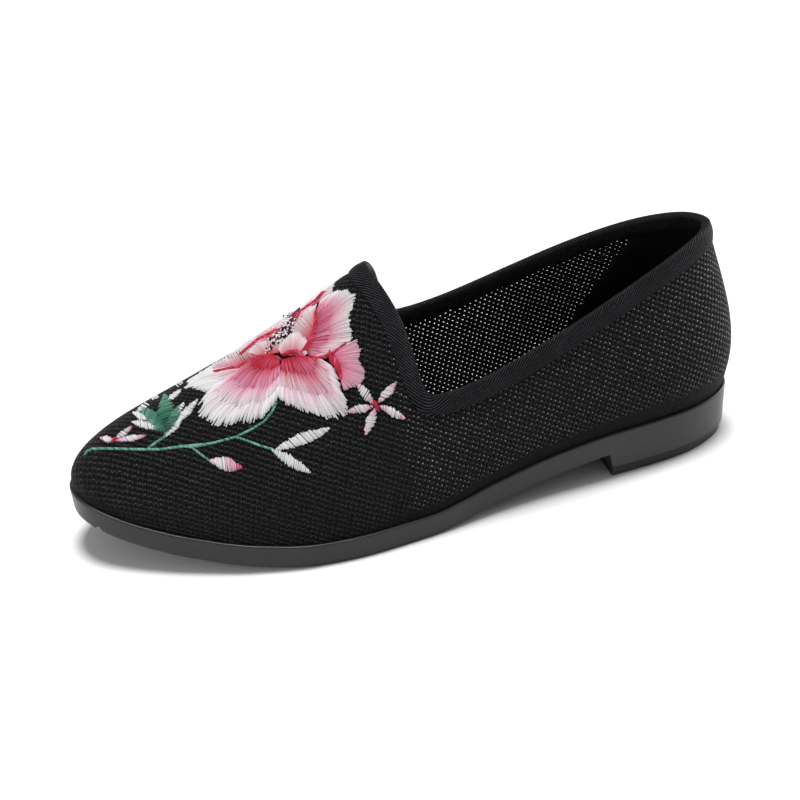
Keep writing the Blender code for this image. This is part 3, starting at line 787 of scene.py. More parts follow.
class Look:
    """A material's node tree with short calls to add nodes."""

    def __init__(self, name, **uniform):
        self.material = bpy.data.materials.new(name)
        self.material.use_nodes = True
        self.tree = self.material.node_tree
        self.shader = self.tree.nodes["Principled BSDF"]
        self.set(**uniform)

    def set(self, **values):
        """Link outputs to the shader's sockets, or set their values."""
        for key, value in values.items():
            self.put(self.shader.inputs[key.replace("_", " ")], value)
        return self.material

    def put(self, socket, value):
        """Link an output to the socket, or set its value."""
        if isinstance(value, bpy.types.NodeSocket):
            self.tree.links.new(value, socket)
        else:
            socket.default_value = value

    def node(self, kind, inputs=None, **settings):
        """Node of a kind with its settings, and its inputs linked or set by name or number."""
        made = self.tree.nodes.new(kind)
        for key, value in settings.items():
            setattr(made, key, value)
        for key, value in (inputs or {}).items():
            self.put(made.inputs[key], value)
        return made

    def math(self, operation, first, second=0.0):
        """Result of one sum."""
        return self.node("ShaderNodeMath", {0: first, 1: second}, operation=operation).outputs[0]

    def times(self, first, *others):
        """Product of the values."""
        for other in others:
            first = self.math("MULTIPLY", first, other)
        return first

    def wave(self, value, pitch, kind="SINE"):
        """Wave of a pitch over the value."""
        return self.math(kind, self.times(value, 2 * math.pi / pitch))

    def ramp(self, value, low, high, to_low=0.0, to_high=1.0, kind="SMOOTHSTEP"):
        """The value's span from low to high, mapped on another span."""
        inputs = {"Value": value, "From Min": low, "From Max": high, "To Min": to_low, "To Max": to_high}
        made = self.node("ShaderNodeMapRange")
        made.interpolation_type = kind
        for key, given in inputs.items():
            self.put(made.inputs[key], given)
        return made.outputs[0]

    def mix(self, factor, first, second, blend="MIX"):
        """Colour between two others."""
        made = self.node("ShaderNodeMix", data_type="RGBA", blend_type=blend)
        for number, value in ((0, factor), (6, first), (7, second)):
            self.put(made.inputs[number], value)
        return made.outputs[2]

    def place(self):
        """Place on the object, in millimetres."""
        where = self.node("ShaderNodeTexCoord").outputs["Object"]
        return self.node("ShaderNodeVectorMath", {0: where, "Scale": 1000.0}, operation="SCALE").outputs[0]

    def parts(self, vector):
        """The three parts of a place."""
        return self.node("ShaderNodeSeparateXYZ", {0: vector}).outputs

    def flat_place(self):
        """The parts of the place on the cloth laid flat, in millimetres."""
        return self.parts(self.node("ShaderNodeUVMap", uv_map="cloth").outputs[0])

    def painted(self, name, output="Fac"):
        """What the mesh's points carry under a name."""
        return self.node("ShaderNodeAttribute", attribute_name=name).outputs[output]

    def noise(self, vector, scale, detail=3.0, roughness=0.5):
        """Noise of so many bumps a millimetre."""
        inputs = {"Vector": vector, "Scale": scale, "Detail": detail, "Roughness": roughness}
        return self.node("ShaderNodeTexNoise", inputs).outputs["Fac"]

    def bump(self, height, distance, strength):
        """Normal over a relief."""
        inputs = {"Height": height, "Distance": distance, "Strength": strength}
        return self.node("ShaderNodeBump", inputs).outputs["Normal"]


def grey(value, blue=0.0):
    """Colour of a grey, a little bluer by the share given."""
    return (value, value, value * (1 + blue), 1.0)


def net(look, along, rows, shift=(0.0, 0.0)):
    """Staggered lattice of the weave, 1 in the middle of each cell."""
    across = look.wave(look.math("SUBTRACT", along, shift[0]), WEAVE_PITCH, "COSINE")
    down = look.wave(look.math("SUBTRACT", rows, shift[1]), 2 * WEAVE_ROW, "COSINE")
    return look.times(across, down)


def mesh_cloth_look():
    """Open mesh: staggered holes with painted shade in them, dark threads, grey painted highlight on the yarn
    between the holes and painted glints beside them.
    """
    look = Look("mesh_cloth", Specular_IOR_Level=0.08)
    place = look.place()
    flat = look.flat_place()
    drift = look.times(look.math("SUBTRACT", look.noise(place, 0.35, 2.0), 0.5), 0.9)
    along, rows = (look.math("ADD", flat[k], drift) for k in (0, 1))
    lattice = net(look, along, rows)
    fibres = look.noise(place, 2.1, 4.0, 0.75)
    see = look.painted("see")
    open_part = look.math("SUBTRACT", 1.0, look.painted("plain"))
    # Painted highlight: the yarn between the holes turns grey where its relief stands high, in random
    # patches.
    strand = look.wave(along, WEAVE_PITCH / 2, "COSINE")
    relief = look.math("SUBTRACT", look.times(strand, 0.45), look.times(lattice, 0.8))
    yarn_highlight = look.math("ADD", look.times(look.math("SUBTRACT", fibres, 0.5), 4.0), relief)
    highlight_patches = look.ramp(look.noise(place, 0.07, 2.0), 0.25, 0.75, 0.35, 0.8)
    yarn_highlight = look.times(look.ramp(yarn_highlight, 0.50, 1.70), highlight_patches, look.ramp(open_part, 0.0, 1.0, 0.08, 1.0, "LINEAR"))
    # Painted shade: the holes are darker than the threads round them.
    hole = look.times(look.ramp(lattice, 0.25, 0.75), open_part)
    thread = look.mix(hole, grey(0.0060, 0.15), grey(0.0008, 0.1))
    colour = look.mix(yarn_highlight, thread, grey(0.095, 0.06))
    # Painted glints: bright spots beside each hole, stronger where the holes are cut through.
    glint_spot = look.ramp(net(look, along, rows, GLINT_SHIFT), 0.72, 0.92)
    uneven = look.ramp(look.noise(place, 0.9, 1.0), 0.38, 0.62, 0.12, 1.0)
    glint = look.times(glint_spot, uneven, open_part, look.ramp(see, 0.0, 1.0, 0.22, 1.0))
    colour = look.mix(glint, colour, grey(0.36))
    height = look.math("SUBTRACT", fibres, look.times(lattice, open_part))
    gap = look.math("GREATER_THAN", look.times(lattice, see, open_part), HOLE_FROM)
    return look.set(Base_Color=colour, Alpha=look.math("SUBTRACT", 1.0, gap),
                    Roughness=look.ramp(fibres, 0.3, 0.7, 0.52, 0.68), Normal=look.bump(height, 0.00060, 0.9))


def tape_look():
    """Twill tape: fine diagonal ribs, lighter on their crests as painted highlight, and a faint sheen."""
    look = Look("twill_tape", Roughness=0.55, Specular_IOR_Level=0.08)
    place = look.place()
    flat = look.flat_place()
    slant = look.math("ADD", look.times(flat[0], TWILL_SLANT), look.times(flat[1], -TWILL_STEEP))
    slant = look.math("ADD", slant, look.times(look.noise(place, 0.25, 2.0), 0.8))
    rib = look.wave(slant, TWILL_PITCH)
    fibres = look.noise(place, 2.4, 3.0, 0.6)
    # Painted highlight: the colour turns lighter on the ribs' crests, where the bump stands high.
    tone = look.math("ADD", rib, look.times(look.math("SUBTRACT", fibres, 0.5), 2.4))
    colour = look.mix(look.ramp(tone, 0.1, 1.7), grey(0.0012, 0.3), grey(0.085, 0.20))
    colour = look.mix(look.ramp(look.noise(place, 0.10, 2.0), 0.35, 0.7, 0.0, 0.4), colour, grey(0.003, 0.2))
    return look.set(Base_Color=colour, Normal=look.bump(rib, 0.00022, 0.9))


def rubber_look(name, dark, light, roughness, speck, groove_shade_painted=False):
    """Moulded rubber: fine grain, faint clouds, small light specks and, where asked, painted shade toward a
    groove.
    """
    look = Look(name, Specular_IOR_Level=0.34)
    place = look.place()
    grain = look.noise(place, 2.2, 4.0, 0.6)
    colour = look.mix(look.ramp(look.noise(place, 0.045), 0.3, 0.7), grey(dark, 0.06), grey(light, 0.06))
    cells = look.node("ShaderNodeTexVoronoi", {"Vector": place, "Scale": 0.55, "Randomness": 1.0}).outputs
    pick = look.ramp(look.node("ShaderNodeSeparateColor", {0: cells["Color"]}).outputs[0], 0.62, 0.66)
    colour = look.mix(look.times(look.ramp(cells["Distance"], 0.10, 0.05), pick, speck), colour, grey(0.22))
    if groove_shade_painted:
        # Painted shade: the rubber turns near black above the given heights, toward the groove.
        colour = look.mix(look.ramp(look.parts(place)[2], *GROOVE_SHADE), colour, grey(0.0006))
    rub = look.ramp(grain, 0.35, 0.75, roughness - 0.05, roughness + 0.08)
    return look.set(Base_Color=colour, Roughness=rub, Normal=look.bump(grain, 0.00008, 0.35))


def insole_look():
    """Plain black cloth of the insole, a little uneven in tone, with painted highlight on the raised spots of
    its weave.
    """
    look = Look("insole_cloth", Roughness=0.85, Specular_IOR_Level=0.1)
    place = look.place()
    parts = look.parts(place)
    weave = look.times(look.wave(parts[0], INSOLE_WEAVE), look.wave(parts[1], INSOLE_WEAVE))
    # Painted highlight: the raised spots of the weave are lighter.
    colour = look.mix(look.ramp(weave, -0.8, 0.9), grey(0.006), grey(0.020))
    colour = look.mix(look.ramp(look.noise(place, 0.06), 0.35, 0.7, 0.0, 0.4), colour, grey(0.012, 0.05))
    return look.set(Base_Color=colour, Normal=look.bump(weave, 0.00012, 0.7))


def lining_look():
    """Smooth black lining cloth of the heel, with a fine rib."""
    look = Look("lining_cloth", Roughness=0.60, Specular_IOR_Level=0.12)
    rib = look.wave(look.flat_place()[0], LINING_RIB)
    cloud = look.ramp(look.noise(look.place(), 0.1), 0.3, 0.7)
    colour = look.mix(cloud, grey(0.003, 0.15), grey(0.008, 0.15))
    return look.set(Base_Color=colour, Normal=look.bump(rib, 0.00008, 0.5))


def thread_look():
    """Glossy embroidery thread with a fine twist; its colour is the stitch's own, with painted shade where
    its fibres dip.
    """
    look = Look("embroidery_thread", Roughness=0.45, Specular_IOR_Level=0.25)
    fibres = look.noise(look.place(), 4.0, 2.0, 0.6)
    # Painted shade: the thread is darker where its fibres' relief dips.
    shade = look.ramp(fibres, 0.3, 0.8, 0.28, 0.0)
    colour = look.mix(shade, look.painted("thread", "Color"), grey(0.02), "MULTIPLY")
    return look.set(Base_Color=colour, Normal=look.bump(fibres, 0.00006, 0.5))


def floor_look():
    """Pale seamless floor with a barely visible grain."""
    look = Look("floor", Roughness=0.9, Specular_IOR_Level=0.1)
    return look.set(Base_Color=look.mix(look.noise(look.place(), 0.004, 2.0), grey(0.83), grey(0.86)))


# Pieces


def add_piece(name, data, look, replaces=(), sharp=40, rides=True):
    """Object of a finished mesh, which rides on the shoe's one body."""
    if isinstance(data, bmesh.types.BMesh):
        mesh, data = data, bpy.data.meshes.new(name)
        mesh.to_mesh(data)
        mesh.free()
    data.materials.append(look)
    data.shade_smooth()
    data.set_sharp_from_angle(angle=math.radians(sharp))
    made = bpy.data.objects.new(name, data)
    bpy.context.scene.collection.objects.link(made)
    if rides:
        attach(made, "root")
    if replaces:
        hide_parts(*replaces)
    return made


def thicken(piece, thickness, offset):
    """Give a sheet its thickness, inward at an offset of -1 and to both sides at 0."""
    wall = piece.modifiers.new("cloth", "SOLIDIFY")
    wall.thickness = thickness
    wall.offset = offset


def add_quad(mesh, layer, corners, places):
    """Face with the flat place of each of its corners."""
    for loop, spot in zip(mesh.faces.new(corners).loops, places):
        loop[layer].uv = spot


def fine_turns(turns, parts):
    """The turns with each step cut in equal parts."""
    steps = [np.linspace(a, b, parts + 1)[:-1] for a, b in zip(turns, turns[1:])]
    return np.append(np.concatenate(steps), turns[-1])


def mould_line(turns):
    """Depth of the fine groove that the mould leaves down the toe's tip."""
    middle, width, depth = MOULD_LINE
    return depth * np.exp(-((turns - middle) / width) ** 2)


def rim_steps(angles):
    """Inset and drop of a rounded rim at each angle."""
    turns = [math.radians(angle) for angle in angles]
    return [(EDGE_ROUND * (1 - math.sin(turn)), EDGE_ROUND * (1 - math.cos(turn))) for turn in turns]


def outsole():
    """Moulded unit sole with rounded rims, the groove of its mould and its toe's notches."""
    def top(t):
        return sole_top(SOLE_LENGTH * share_of(t))

    def side(t):
        return taper(t, underside(t)) + mould_line(t)

    turns = np.unique(np.concatenate([fine_turns(outsole_turns(), 3), np.linspace(*MOULD_TURNS, 13)]))
    turns = turns[np.append(True, np.diff(turns) > 1e-5)]
    levels = [(lambda t: 0 * t + TREAD_RIM, lambda t, along: underside(t, rim=False))]
    for inward, high in rim_steps(RIM_ANGLES):
        levels.append((lambda t, i=inward: side(t) + i, lambda t, along, h=high: underside(t) + h))
    levels.append((side, lambda t, along: underside(t) + 2 * EDGE_ROUND))
    levels.append((lambda t: mould_line(t) + SIDE_STEP, lambda t, along: top(t) - 2 * EDGE_ROUND))
    for inward, high in rim_steps(RIM_ANGLES[::-1]):
        levels.append((lambda t, i=inward: mould_line(t) + i, lambda t, along, h=high: top(t) - h))
    levels.append((lambda t: 0 * t + 2.5 * EDGE_ROUND, lambda t, along: top(t)))
    add_piece("sole_unit", plate(turns, levels), rubber_look("sole_rubber", 0.018, 0.024, 0.34, 0.40),
              replaces=["outsole"], sharp=32)


def heel_top_piece():
    """The part's own top piece, dressed in hard matt rubber with painted shade toward its groove."""
    look = rubber_look("top_piece_rubber", 0.012, 0.016, 0.42, 0.25, groove_shade_painted=True)
    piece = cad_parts["heel_top_piece"]
    for slot in piece.material_slots:
        slot.material = look
    if not piece.material_slots:
        piece.data.materials.append(look)


def insole():
    """Insole with a rounded rim and a face that sinks a little toward the middle."""
    levels = []
    crown = INSOLE_THICKNESS
    for inset, high in ((0.0006, 0.0), (0.0, 0.0006), (0.0, crown - 0.0008), (0.0003, crown - 0.0002),
                        (0.0010, crown), (0.0060, crown - 0.0001), (0.0120, crown - 0.0003)):
        levels.append((lambda t, i=inset: 0 * t + INSOLE_INSET + i,
                       lambda t, along, h=high: sole_top(along) + CLEARANCE + h))
    add_piece("insole_sheet", plate(np.linspace(0, 1, 4 * INSOLE_STEPS + 1), levels), insole_look(),
              replaces=["insole"])


def flatten(piece):
    """Lay the upper's outer face flat as its cloth was cut, in millimetres, as the layer "cloth"."""
    data = piece.data
    data.uv_layers.new(name="cloth")
    bpy.context.view_layer.objects.active = piece
    piece.select_set(True)
    bpy.ops.object.mode_set(mode="EDIT")
    bpy.ops.mesh.select_all(action="SELECT")
    bpy.ops.uv.unwrap(method="ANGLE_BASED", margin=0.0)
    bpy.ops.object.mode_set(mode="OBJECT")
    piece.select_set(False)
    layer = data.uv_layers["cloth"]
    spots = np.empty(len(layer.uv) * 2, np.float32)
    layer.uv.foreach_get("vector", spots)
    spots = spots.reshape(-1, 2).astype(float)
    start = np.array([face.loop_start for face in data.polygons])
    across = spots[start + 2] - spots[start]
    other = spots[start + 3] - spots[start + 1]
    flat = abs(across[:, 0] * other[:, 1] - across[:, 1] * other[:, 0]) / 2
    real = np.array([face.area for face in data.polygons])
    spots *= float(np.median(np.sqrt(real / np.maximum(flat, 1e-12)))) / 0.001
    corner = np.array([loop.vertex_index for loop in data.loops])
    place = np.array([vert.co for vert in data.vertices])[corner]
    middle = spots - spots.mean(axis=0)
    forward = -(place[:, 1] - place[:, 1].mean())
    lean = math.atan2((middle[:, 1] * forward).sum(), (middle[:, 0] * forward).sum())
    turn = np.array([[math.cos(lean), -math.sin(lean)], [math.sin(lean), math.cos(lean)]])
    layer.uv.foreach_set("vector", (middle @ turn).astype(np.float32).ravel())


def upper():
    """Mesh cloth of the upper with its stiffer band over the sole, and the points of its edge."""
    mesh, edge = upper_grid(CLOTH_FINE)
    mesh.verts.ensure_lookup_table()
    climbs = WALL_STEPS * CLOTH_FINE
    heel = len(upper_turns(CLOTH_FINE)) - 1
    held = {mesh.verts[i] for i in range(heel * (climbs + 1), (heel + 1) * (climbs + 1))}
    for one in mesh.edges:
        one.seam = one.verts[0] in held and one.verts[1] in held
    plain = mesh.verts.layers.float.new("plain")
    see = mesh.verts.layers.float.new("see")
    for vert in mesh.verts:
        along = OFFSET[1] - vert.co.y
        over = vert.co.z - sole_top(along)
        share = along / SOLE_LENGTH
        waist = clamped((WAIST_BAND[1] - share) / (WAIST_BAND[1] - WAIST_BAND[0]))
        toe = clamped((share - TOE_BAND[0]) / (TOE_BAND[1] - TOE_BAND[0])) * TOE_BAND_SHARE
        up = float(np.interp(-share, (-BAND_SPAN[0], -BAND_SPAN[1]), BAND_UP))
        vert[plain] = clamped((up - over) / BAND_FADE) * max(waist, toe)
        vert[see] = clamped((OPEN_SPAN[1] - share) / (OPEN_SPAN[1] - OPEN_SPAN[0]))
        pucker = math.sin(2 * math.pi * along / PUCKER_PITCH + 2.0 * math.sin(along / PUCKER_DRIFT))
        vert.co += vert.normal * (clamped((PUCKER_REACH - over) / PUCKER_REACH) * PUCKER_DEPTH * pucker)
    mesh.normal_update()
    tree = BVHTree.FromBMesh(mesh)
    made = add_piece("upper_cloth", mesh, mesh_cloth_look(), replaces=["upper"])
    flatten(made)
    thicken(made, CLOTH_THICKNESS, -1.0)
    return tree, edge


def collar_binding(tree, edge):
    """Tape rolled over the top edge; its legs come in to the cloth at their stitched rims."""
    fold = TAPE_GAP + TAPE_THICKNESS
    rings = []
    for point, down, normal in edge_frames(edge, tree):
        legs = []
        for reach, form in ((TAPE_OUTSIDE, TAPE_OUTSIDE_FORM), (TAPE_INSIDE, TAPE_INSIDE_FORM)):
            spots = [tree.find_nearest(point + down * reach * part)[:2] for part, high in form]
            legs.append([(place, facing, high) for (place, facing), (part, high) in zip(spots, form)])
        outside, inside = legs
        ring = [place + facing * high for place, facing, high in outside[::-1]]
        for angle in FINE_FOLD_ANGLES:
            across = math.cos(math.radians(angle)) * (WALL / 2 + fold) - WALL / 2
            ring.append(point + normal * across - down * math.sin(math.radians(angle)) * fold)
        ring += [place - facing * (WALL + high) for place, facing, high in inside]
        ring += [place - facing * (WALL + TAPE_LIFT) for place, facing, high in inside[::-1]]
        ring += [point - normal * WALL - down * TAPE_LIFT, point - down * TAPE_LIFT]
        ring += [place + facing * TAPE_LIFT for place, facing, high in outside]
        rings.append(ring)
    mesh = bmesh.new()
    layer = mesh.loops.layers.uv.new("cloth")
    verts = [[mesh.verts.new(spot) for spot in ring] for ring in rings]
    steps = [0.0]
    for i in range(len(edge)):
        steps.append(steps[-1] + (edge[(i + 1) % len(edge)] - edge[i]).length * 1000)
    whole = round(steps[-1] * TWILL_SLANT / TWILL_PITCH) * TWILL_PITCH / TWILL_SLANT
    steps = [step * whole / steps[-1] for step in steps]
    for i, ring in enumerate(verts):
        after = verts[(i + 1) % len(verts)]
        gaps = [(ring[j].co - ring[(j + 1) % len(ring)].co).length * 1000 for j in range(len(ring))]
        reach = np.cumsum([0] + gaps)
        for j in range(len(ring)):
            k = (j + 1) % len(ring)
            add_quad(mesh, layer, [ring[j], ring[k], after[k], after[j]],
                     [(steps[i], reach[j]), (steps[i], reach[j + 1]), (steps[i + 1], reach[j + 1]),
                      (steps[i + 1], reach[j])])
    bmesh.ops.recalc_face_normals(mesh, faces=mesh.faces[:])
    add_piece("collar_tape", mesh, tape_look(), replaces=["collar_binding"], sharp=60)


def heel_lining(tree):
    """Smooth lining patch inside the heel, with its curved front edges."""
    mesh = bmesh.new()
    layer = mesh.loops.layers.uv.new("cloth")
    climbs = np.linspace(*LINING_CLIMBS, 31)
    parts = np.linspace(-1, 1, 61)
    grid = []
    for climb in climbs:
        row = []
        front = float(turn_of((LINING_FRONT - LINING_CURVE * climb ** 1.4) / SOLE_LENGTH))
        for part in parts:
            turn = math.copysign(1 - (1 - front) * abs(part), part) if part else 1.0
            spot = in_world(upper_surface(np.array([turn]), np.array([climb])))[0]
            place, facing, *_ = tree.find_nearest(Vector(spot))
            dome = LINING_DOME * math.sqrt(min((1 - abs(part)) / LINING_RIM, 1.0))
            row.append(mesh.verts.new(place - facing * (CLOTH_THICKNESS + LINING_GAP + dome)))
        grid.append(row)
    wide, high = LINING_SIZE
    for i in range(len(climbs) - 1):
        for j in range(len(parts) - 1):
            add_quad(mesh, layer, [grid[i][j], grid[i + 1][j], grid[i + 1][j + 1], grid[i][j + 1]],
                     [(parts[u] * wide, climbs[v] * high)
                      for u, v in ((j, i), (j, i + 1), (j + 1, i + 1), (j + 1, i))])
    bmesh.ops.recalc_face_normals(mesh, faces=mesh.faces[:])
    made = add_piece("heel_lining", mesh, lining_look())
    thicken(made, LINING_THICKNESS, 0.0)


# Embroidery


class Needle:
    """Lays stitches on the cloth and gathers them in one mesh with their colours."""

    def __init__(self, tree):
        self.tree = tree
        self.verts, self.faces, self.colours = [], [], []

    def on_cloth(self, drawing, point):
        """Place and normal of the cloth at a point of a drawing, or nothing where it misses."""
        if drawing == "above":
            start = Vector(in_world((point[0] / 1000, point[1] / 1000, 0.2)))
            hit = self.tree.ray_cast(start, Vector((0, 0, -1)))
        else:
            left, top, units = DRAWINGS[drawing]
            pixel = (left + point[0] / units, top + point[1] / units)
            hit = self.tree.ray_cast(camera_place(), pixel_ray(pixel).normalized())
        return None if hit[0] is None else (np.array(hit[0]), np.array(hit[1]))

    def stitch(self, drawing, start, end, layer, colours):
        """One stitch between two points: a closed low thread that dips into the cloth at its ends."""
        steps = np.linspace(0, 1, STITCH_POINTS)
        spots = []
        for t in steps:
            found = self.on_cloth(drawing, [near + (far - near) * t for near, far in zip(start, end)])
            if found is None:
                return
            spots.append(found)
        path, facing = (np.array(column) for column in zip(*spots))
        length = np.linalg.norm(path[-1] - path[0])
        longest = np.linalg.norm(np.diff(path, axis=0), axis=1).max()
        if length < SHORTEST_STITCH or longest > 0.6 * length + FOLD_JUMP:
            return
        side = np.cross(facing, np.gradient(path, axis=0))
        side /= np.linalg.norm(side, axis=1, keepdims=True)
        first = len(self.verts)
        around_thread = len(THREAD_FORM)
        for k, t in enumerate(steps):
            swell = math.sin(math.pi * clamped(t, 0.04, 0.96)) ** 0.35
            lift = LAYER * layer * swell
            half = THREAD_WIDTH / 2 * (0.55 + 0.45 * swell)
            rise = THREAD_RISE * swell + THREAD_LEAST
            low = max(lift - THREAD_RISE, -0.0001)
            for out, part in THREAD_FORM:
                high = lift + rise * part if part else low
                self.verts.append(path[k] + side[k] * half * out + facing[k] * high)
            shade = [near + (far - near) * t for near, far in zip(colours[0], colours[-1])]
            self.colours += [shade] * around_thread
        for k in range(STITCH_POINTS - 1):
            a, b = first + around_thread * k, first + around_thread * (k + 1)
            for j in range(around_thread):
                i = (j + 1) % around_thread
                self.faces.append((a + j, a + i, b + i, b + j))
        last = first + around_thread * (STITCH_POINTS - 1)
        self.faces.append(tuple(range(first + around_thread - 1, first - 1, -1)))
        self.faces.append(tuple(range(last, last + around_thread)))

    def knot(self, drawing, point, layer, colour, radius):
        """Small round knot that stands on the cloth."""
        found = self.on_cloth(drawing, point)
        if found is None:
            return
        place, facing = found
        side = np.cross(facing, (0.3, 0.5, 0.8))
        side /= np.linalg.norm(side)
        other = np.cross(facing, side)
        first = len(self.verts)
        for high, wide in KNOT_FORM:
            for k in range(KNOT_SIDES):
                angle = 2 * math.pi * k / KNOT_SIDES
                self.verts.append(place + facing * (LAYER * layer + radius * high)
                                  + (side * math.cos(angle) + other * math.sin(angle)) * radius * wide)
        for a in range(first, first + KNOT_SIDES * (len(KNOT_FORM) - 1), KNOT_SIDES):
            for k in range(KNOT_SIDES):
                b = a + (k + 1) % KNOT_SIDES
                self.faces.append((a + k, b, b + KNOT_SIDES, a + k + KNOT_SIDES))
        last = len(self.verts)
        self.faces.append(tuple(range(first + KNOT_SIDES - 1, first - 1, -1)))
        self.faces.append(tuple(range(last - KNOT_SIDES, last)))
        self.colours += [colour] * (last - first)

    def finish(self, name, look):
        """The gathered stitches as one piece."""
        data = bpy.data.meshes.new(name)
        data.from_pydata([tuple(vert) for vert in self.verts], [], self.faces)
        layer = data.color_attributes.new(name="thread", type="FLOAT_COLOR", domain="POINT")
        for item, colour in zip(layer.data, self.colours):
            item.color = (*colour, 1.0)
        made = bmesh.new()
        made.from_mesh(data)
        bmesh.ops.recalc_face_normals(made, faces=made.faces[:])
        made.to_mesh(data)
        made.free()
        add_piece(name, data, look, sharp=75)
        self.verts, self.faces, self.colours = [], [], []


def blend(run, t):
    """Colour at a share of the way through a run of colours."""
    shares = [share for share, colour in run]
    return tuple(float(np.interp(clamped(t), shares, [colour[k] for share, colour in run])) for k in range(3))


def tinted(colour, spread):
    """The colour, a little lighter or darker."""
    gain = 1 + rng.uniform(-spread, spread)
    return tuple(min(part * gain, 0.92) for part in colour)


def along_line(points, share):
    """Point at a share of the length of a line of points."""
    points = np.array(points, float)
    reach = np.append(0, np.cumsum(np.linalg.norm(np.diff(points, axis=0), axis=1)))
    return np.array([np.interp(share * reach[-1], reach, points[:, k]) for k in (0, 1)])


def line_length(points):
    """Length of a line of points."""
    return float(np.linalg.norm(np.diff(np.array(points, float), axis=0), axis=1).sum())


def cross_stitch(needle, drawing, here, ahead, reach, slant, lift, shades):
    """One slanted stitch across a line, with its own reach to each side."""
    side = np.array([-ahead[1], ahead[0]])
    low, high = reach
    needle.stitch(drawing, here - side * low - slant, here + side * high + slant, lift, shades)


def fan(needle, drawing, units, layer, colours, base, edge):
    """Long-and-short stitches in tiers from the base line out to the edge line."""
    middle = [np.linalg.norm(along_line(edge, s) - along_line(base, s)) for s in np.linspace(0, 1, 9)]
    tiers = max(1, round(float(np.mean(middle)) / units / STITCH_LENGTH))
    for tier in range(tiers - 1, -1, -1):
        near, far = tier / tiers, (tier + 1) / tiers
        rim = [along_line(base, s) * (1 - far) + along_line(edge, s) * far for s in np.linspace(0, 1, 17)]
        count = max(3, round(line_length(rim) / units / THREAD_GAP))
        for i in range(count):
            share = (i + 0.5 + rng.uniform(-0.3, 0.3)) / count
            start, end = along_line(base, share), along_line(edge, share)
            t0 = max(near - rng.uniform(*TIER_OVERLAP) / tiers, 0)
            t1 = far + (rng.uniform(*TIER_END) / tiers if tier < tiers - 1 else rng.uniform(*EDGE_END))
            tone = rng.uniform(-0.10, 0.10)
            gain = rng.uniform(*PETAL_GAIN)
            shades = [[min(part * gain, 0.9) for part in blend(colours, t + tone)] for t in (t0, t1)]
            lift = layer + 0.35 * (tiers - 1 - tier) + rng.uniform(0, 0.3)
            needle.stitch(drawing, start + (end - start) * t0, start + (end - start) * t1, lift, shades)


def spindle(needle, drawing, units, layer, colours, start, end, half):
    """Slim leaf, lobe, bud or arm: slanted satin stitches across its whole width, with its dark gaps."""
    start = np.array(start, float)
    axis = np.array(end, float) - start
    length = np.linalg.norm(axis)
    ahead = axis / length
    count = max(5, round(length / units / SATIN_GAP))
    for i in range(count):
        t = (i + 0.5 + rng.uniform(-0.25, 0.25)) / count
        reach = half * (SATIN_BLUNT + (1 - SATIN_BLUNT) * math.sin(math.pi * clamped(t)) ** 0.9)
        shade = tinted(blend(colours, t + rng.uniform(-0.08, 0.08)), 0.18)
        sides = [reach * rng.uniform(*RAGGED) for side in range(2)]
        cross_stitch(needle, drawing, start + axis * t, ahead, sides, ahead * reach * SATIN_SLANT,
                       layer + rng.uniform(0, 0.5), [shade])


def laid_line(needle, drawing, units, layer, colours, widths, points):
    """Stem or line: short slanted stitches laid close across it."""
    count = max(4, round(line_length(points) / units / LAID_GAP))
    for i in range(count):
        t = (i + 0.5) / count
        half = (widths[0] + (widths[1] - widths[0]) * t) / 2000 * units
        near = along_line(points, min(t + 0.01, 1)) - along_line(points, max(t - 0.01, 0))
        ahead = near / np.linalg.norm(near)
        colour = colours[min(int(rng.random() ** 1.3 * len(colours)), len(colours) - 1)]
        lift = layer + rng.uniform(0, 0.5)
        cross_stitch(needle, drawing, along_line(points, t), ahead, (half, half),
                       ahead * half * LAID_SLANT, lift, [tinted(colour, 0.25)])


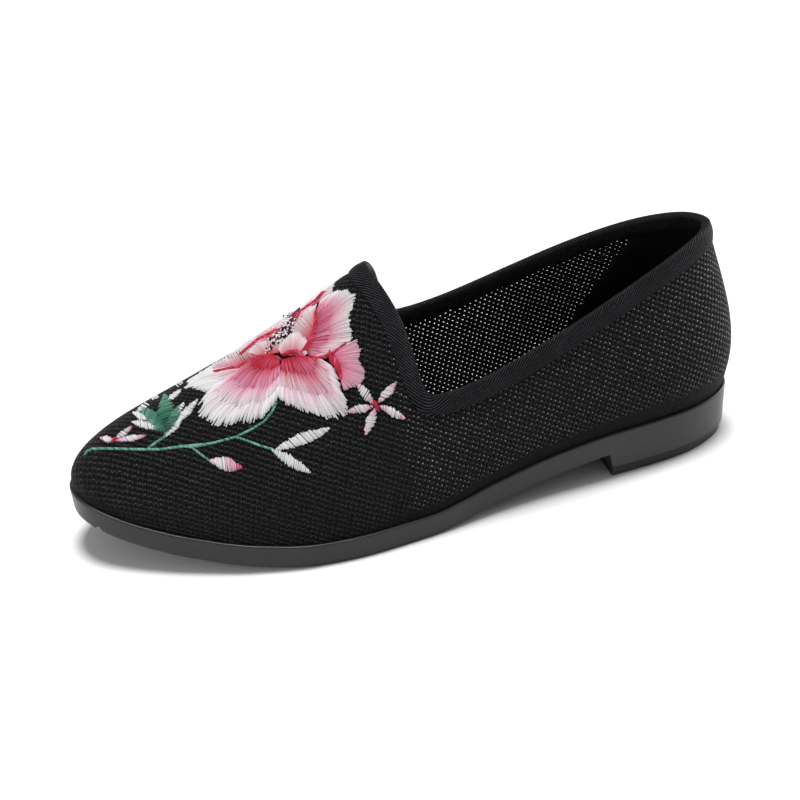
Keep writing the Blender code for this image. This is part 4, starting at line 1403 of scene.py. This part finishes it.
def embroidery(tree):
    """Peony with its leaves, buds and stems on the vamp and toe."""
    look = thread_look()
    scale = CAMERA["distance"] / CAMERA["focal"] * VAMP_NEARER
    needle = Needle(tree)
    units = {name: drawing[2] / scale for name, drawing in DRAWINGS.items()}
    for layer, drawing, widths, points in STEMS:
        laid_line(needle, drawing, units[drawing], layer, STEM_COLOURS, widths, points)
    needle.finish("embroidered_stems", look)
    for colours, drawing, rows in SPINDLES:
        for layer, start, end, half in rows:
            spindle(needle, drawing, units[drawing], layer, colours, start, end, half)
    needle.finish("embroidered_leaves", look)
    for petal in HIDDEN_PETALS:
        fan(needle, "above", 1000.0, *petal)
    for petal in PETALS:
        fan(needle, "flower", units["flower"], *petal)
    for layer, drawing, widths, points in ACCENTS:
        laid_line(needle, drawing, units[drawing], layer, RED_COLOURS, widths, points)
    for i in range(STAMEN_COUNT):
        spot = along_line(STAMENS, rng.random())
        spot = spot + np.array([rng.gauss(0, STAMEN_SPREAD), rng.gauss(0, STAMEN_SPREAD)])
        colour = rng.choice(STAMEN_COLOURS)
        needle.knot("flower", spot, STAMEN_LAYER, tinted(colour, 0.1), rng.uniform(*STAMEN_SIZE))
    needle.finish("embroidered_flower", look)


# Studio


def add_floor():
    """Plain pale floor."""
    mesh = bmesh.new()
    corners = ((-1, -1), (1, -1), (1, 1), (-1, 1))
    mesh.faces.new([mesh.verts.new((x * FLOOR_HALF, y * FLOOR_HALF, 0)) for x, y in corners])
    add_piece("floor", mesh, floor_look(), rides=False)


def add_light(kind, name, power, turn, place=(0, 0, 0), size=None):
    """Lamp of a kind with its power and turn; an area lamp is square."""
    data = bpy.data.lights.new(name, kind)
    data.energy = power
    if size:
        data.shape = "SQUARE"
        data.size = size
    else:
        data.angle = OVERHEAD_ANGLE
    made = bpy.data.objects.new(name, data)
    made.location = place
    made.rotation_euler = turn
    bpy.context.scene.collection.objects.link(made)


def add_studio():
    """Pale surroundings, an even soft light from above and a weak one past each end of the shoe."""
    world = bpy.data.worlds.new("studio")
    world.use_nodes = True
    ground = world.node_tree.nodes["Background"]
    ground.inputs[0].default_value = grey(1.0)
    ground.inputs[1].default_value = WORLD_STRENGTH
    bpy.context.scene.world = world
    bpy.context.scene.view_settings.view_transform = "Standard"
    add_light("SUN", "overhead", OVERHEAD_POWER, OVERHEAD_TURN)
    for name, place, aim, size, power in END_LIGHTS:
        turn = (Vector(aim) - Vector(place)).to_track_quat("-Z", "Y").to_euler()
        add_light("AREA", name, power, turn, place, size)


OFFSET = frame_offset()
add_camera()
add_studio()
add_floor()
outsole()
heel_top_piece()
insole()
cloth_tree, cloth_edge = upper()
collar_binding(cloth_tree, cloth_edge)
heel_lining(cloth_tree)
embroidery(cloth_tree)
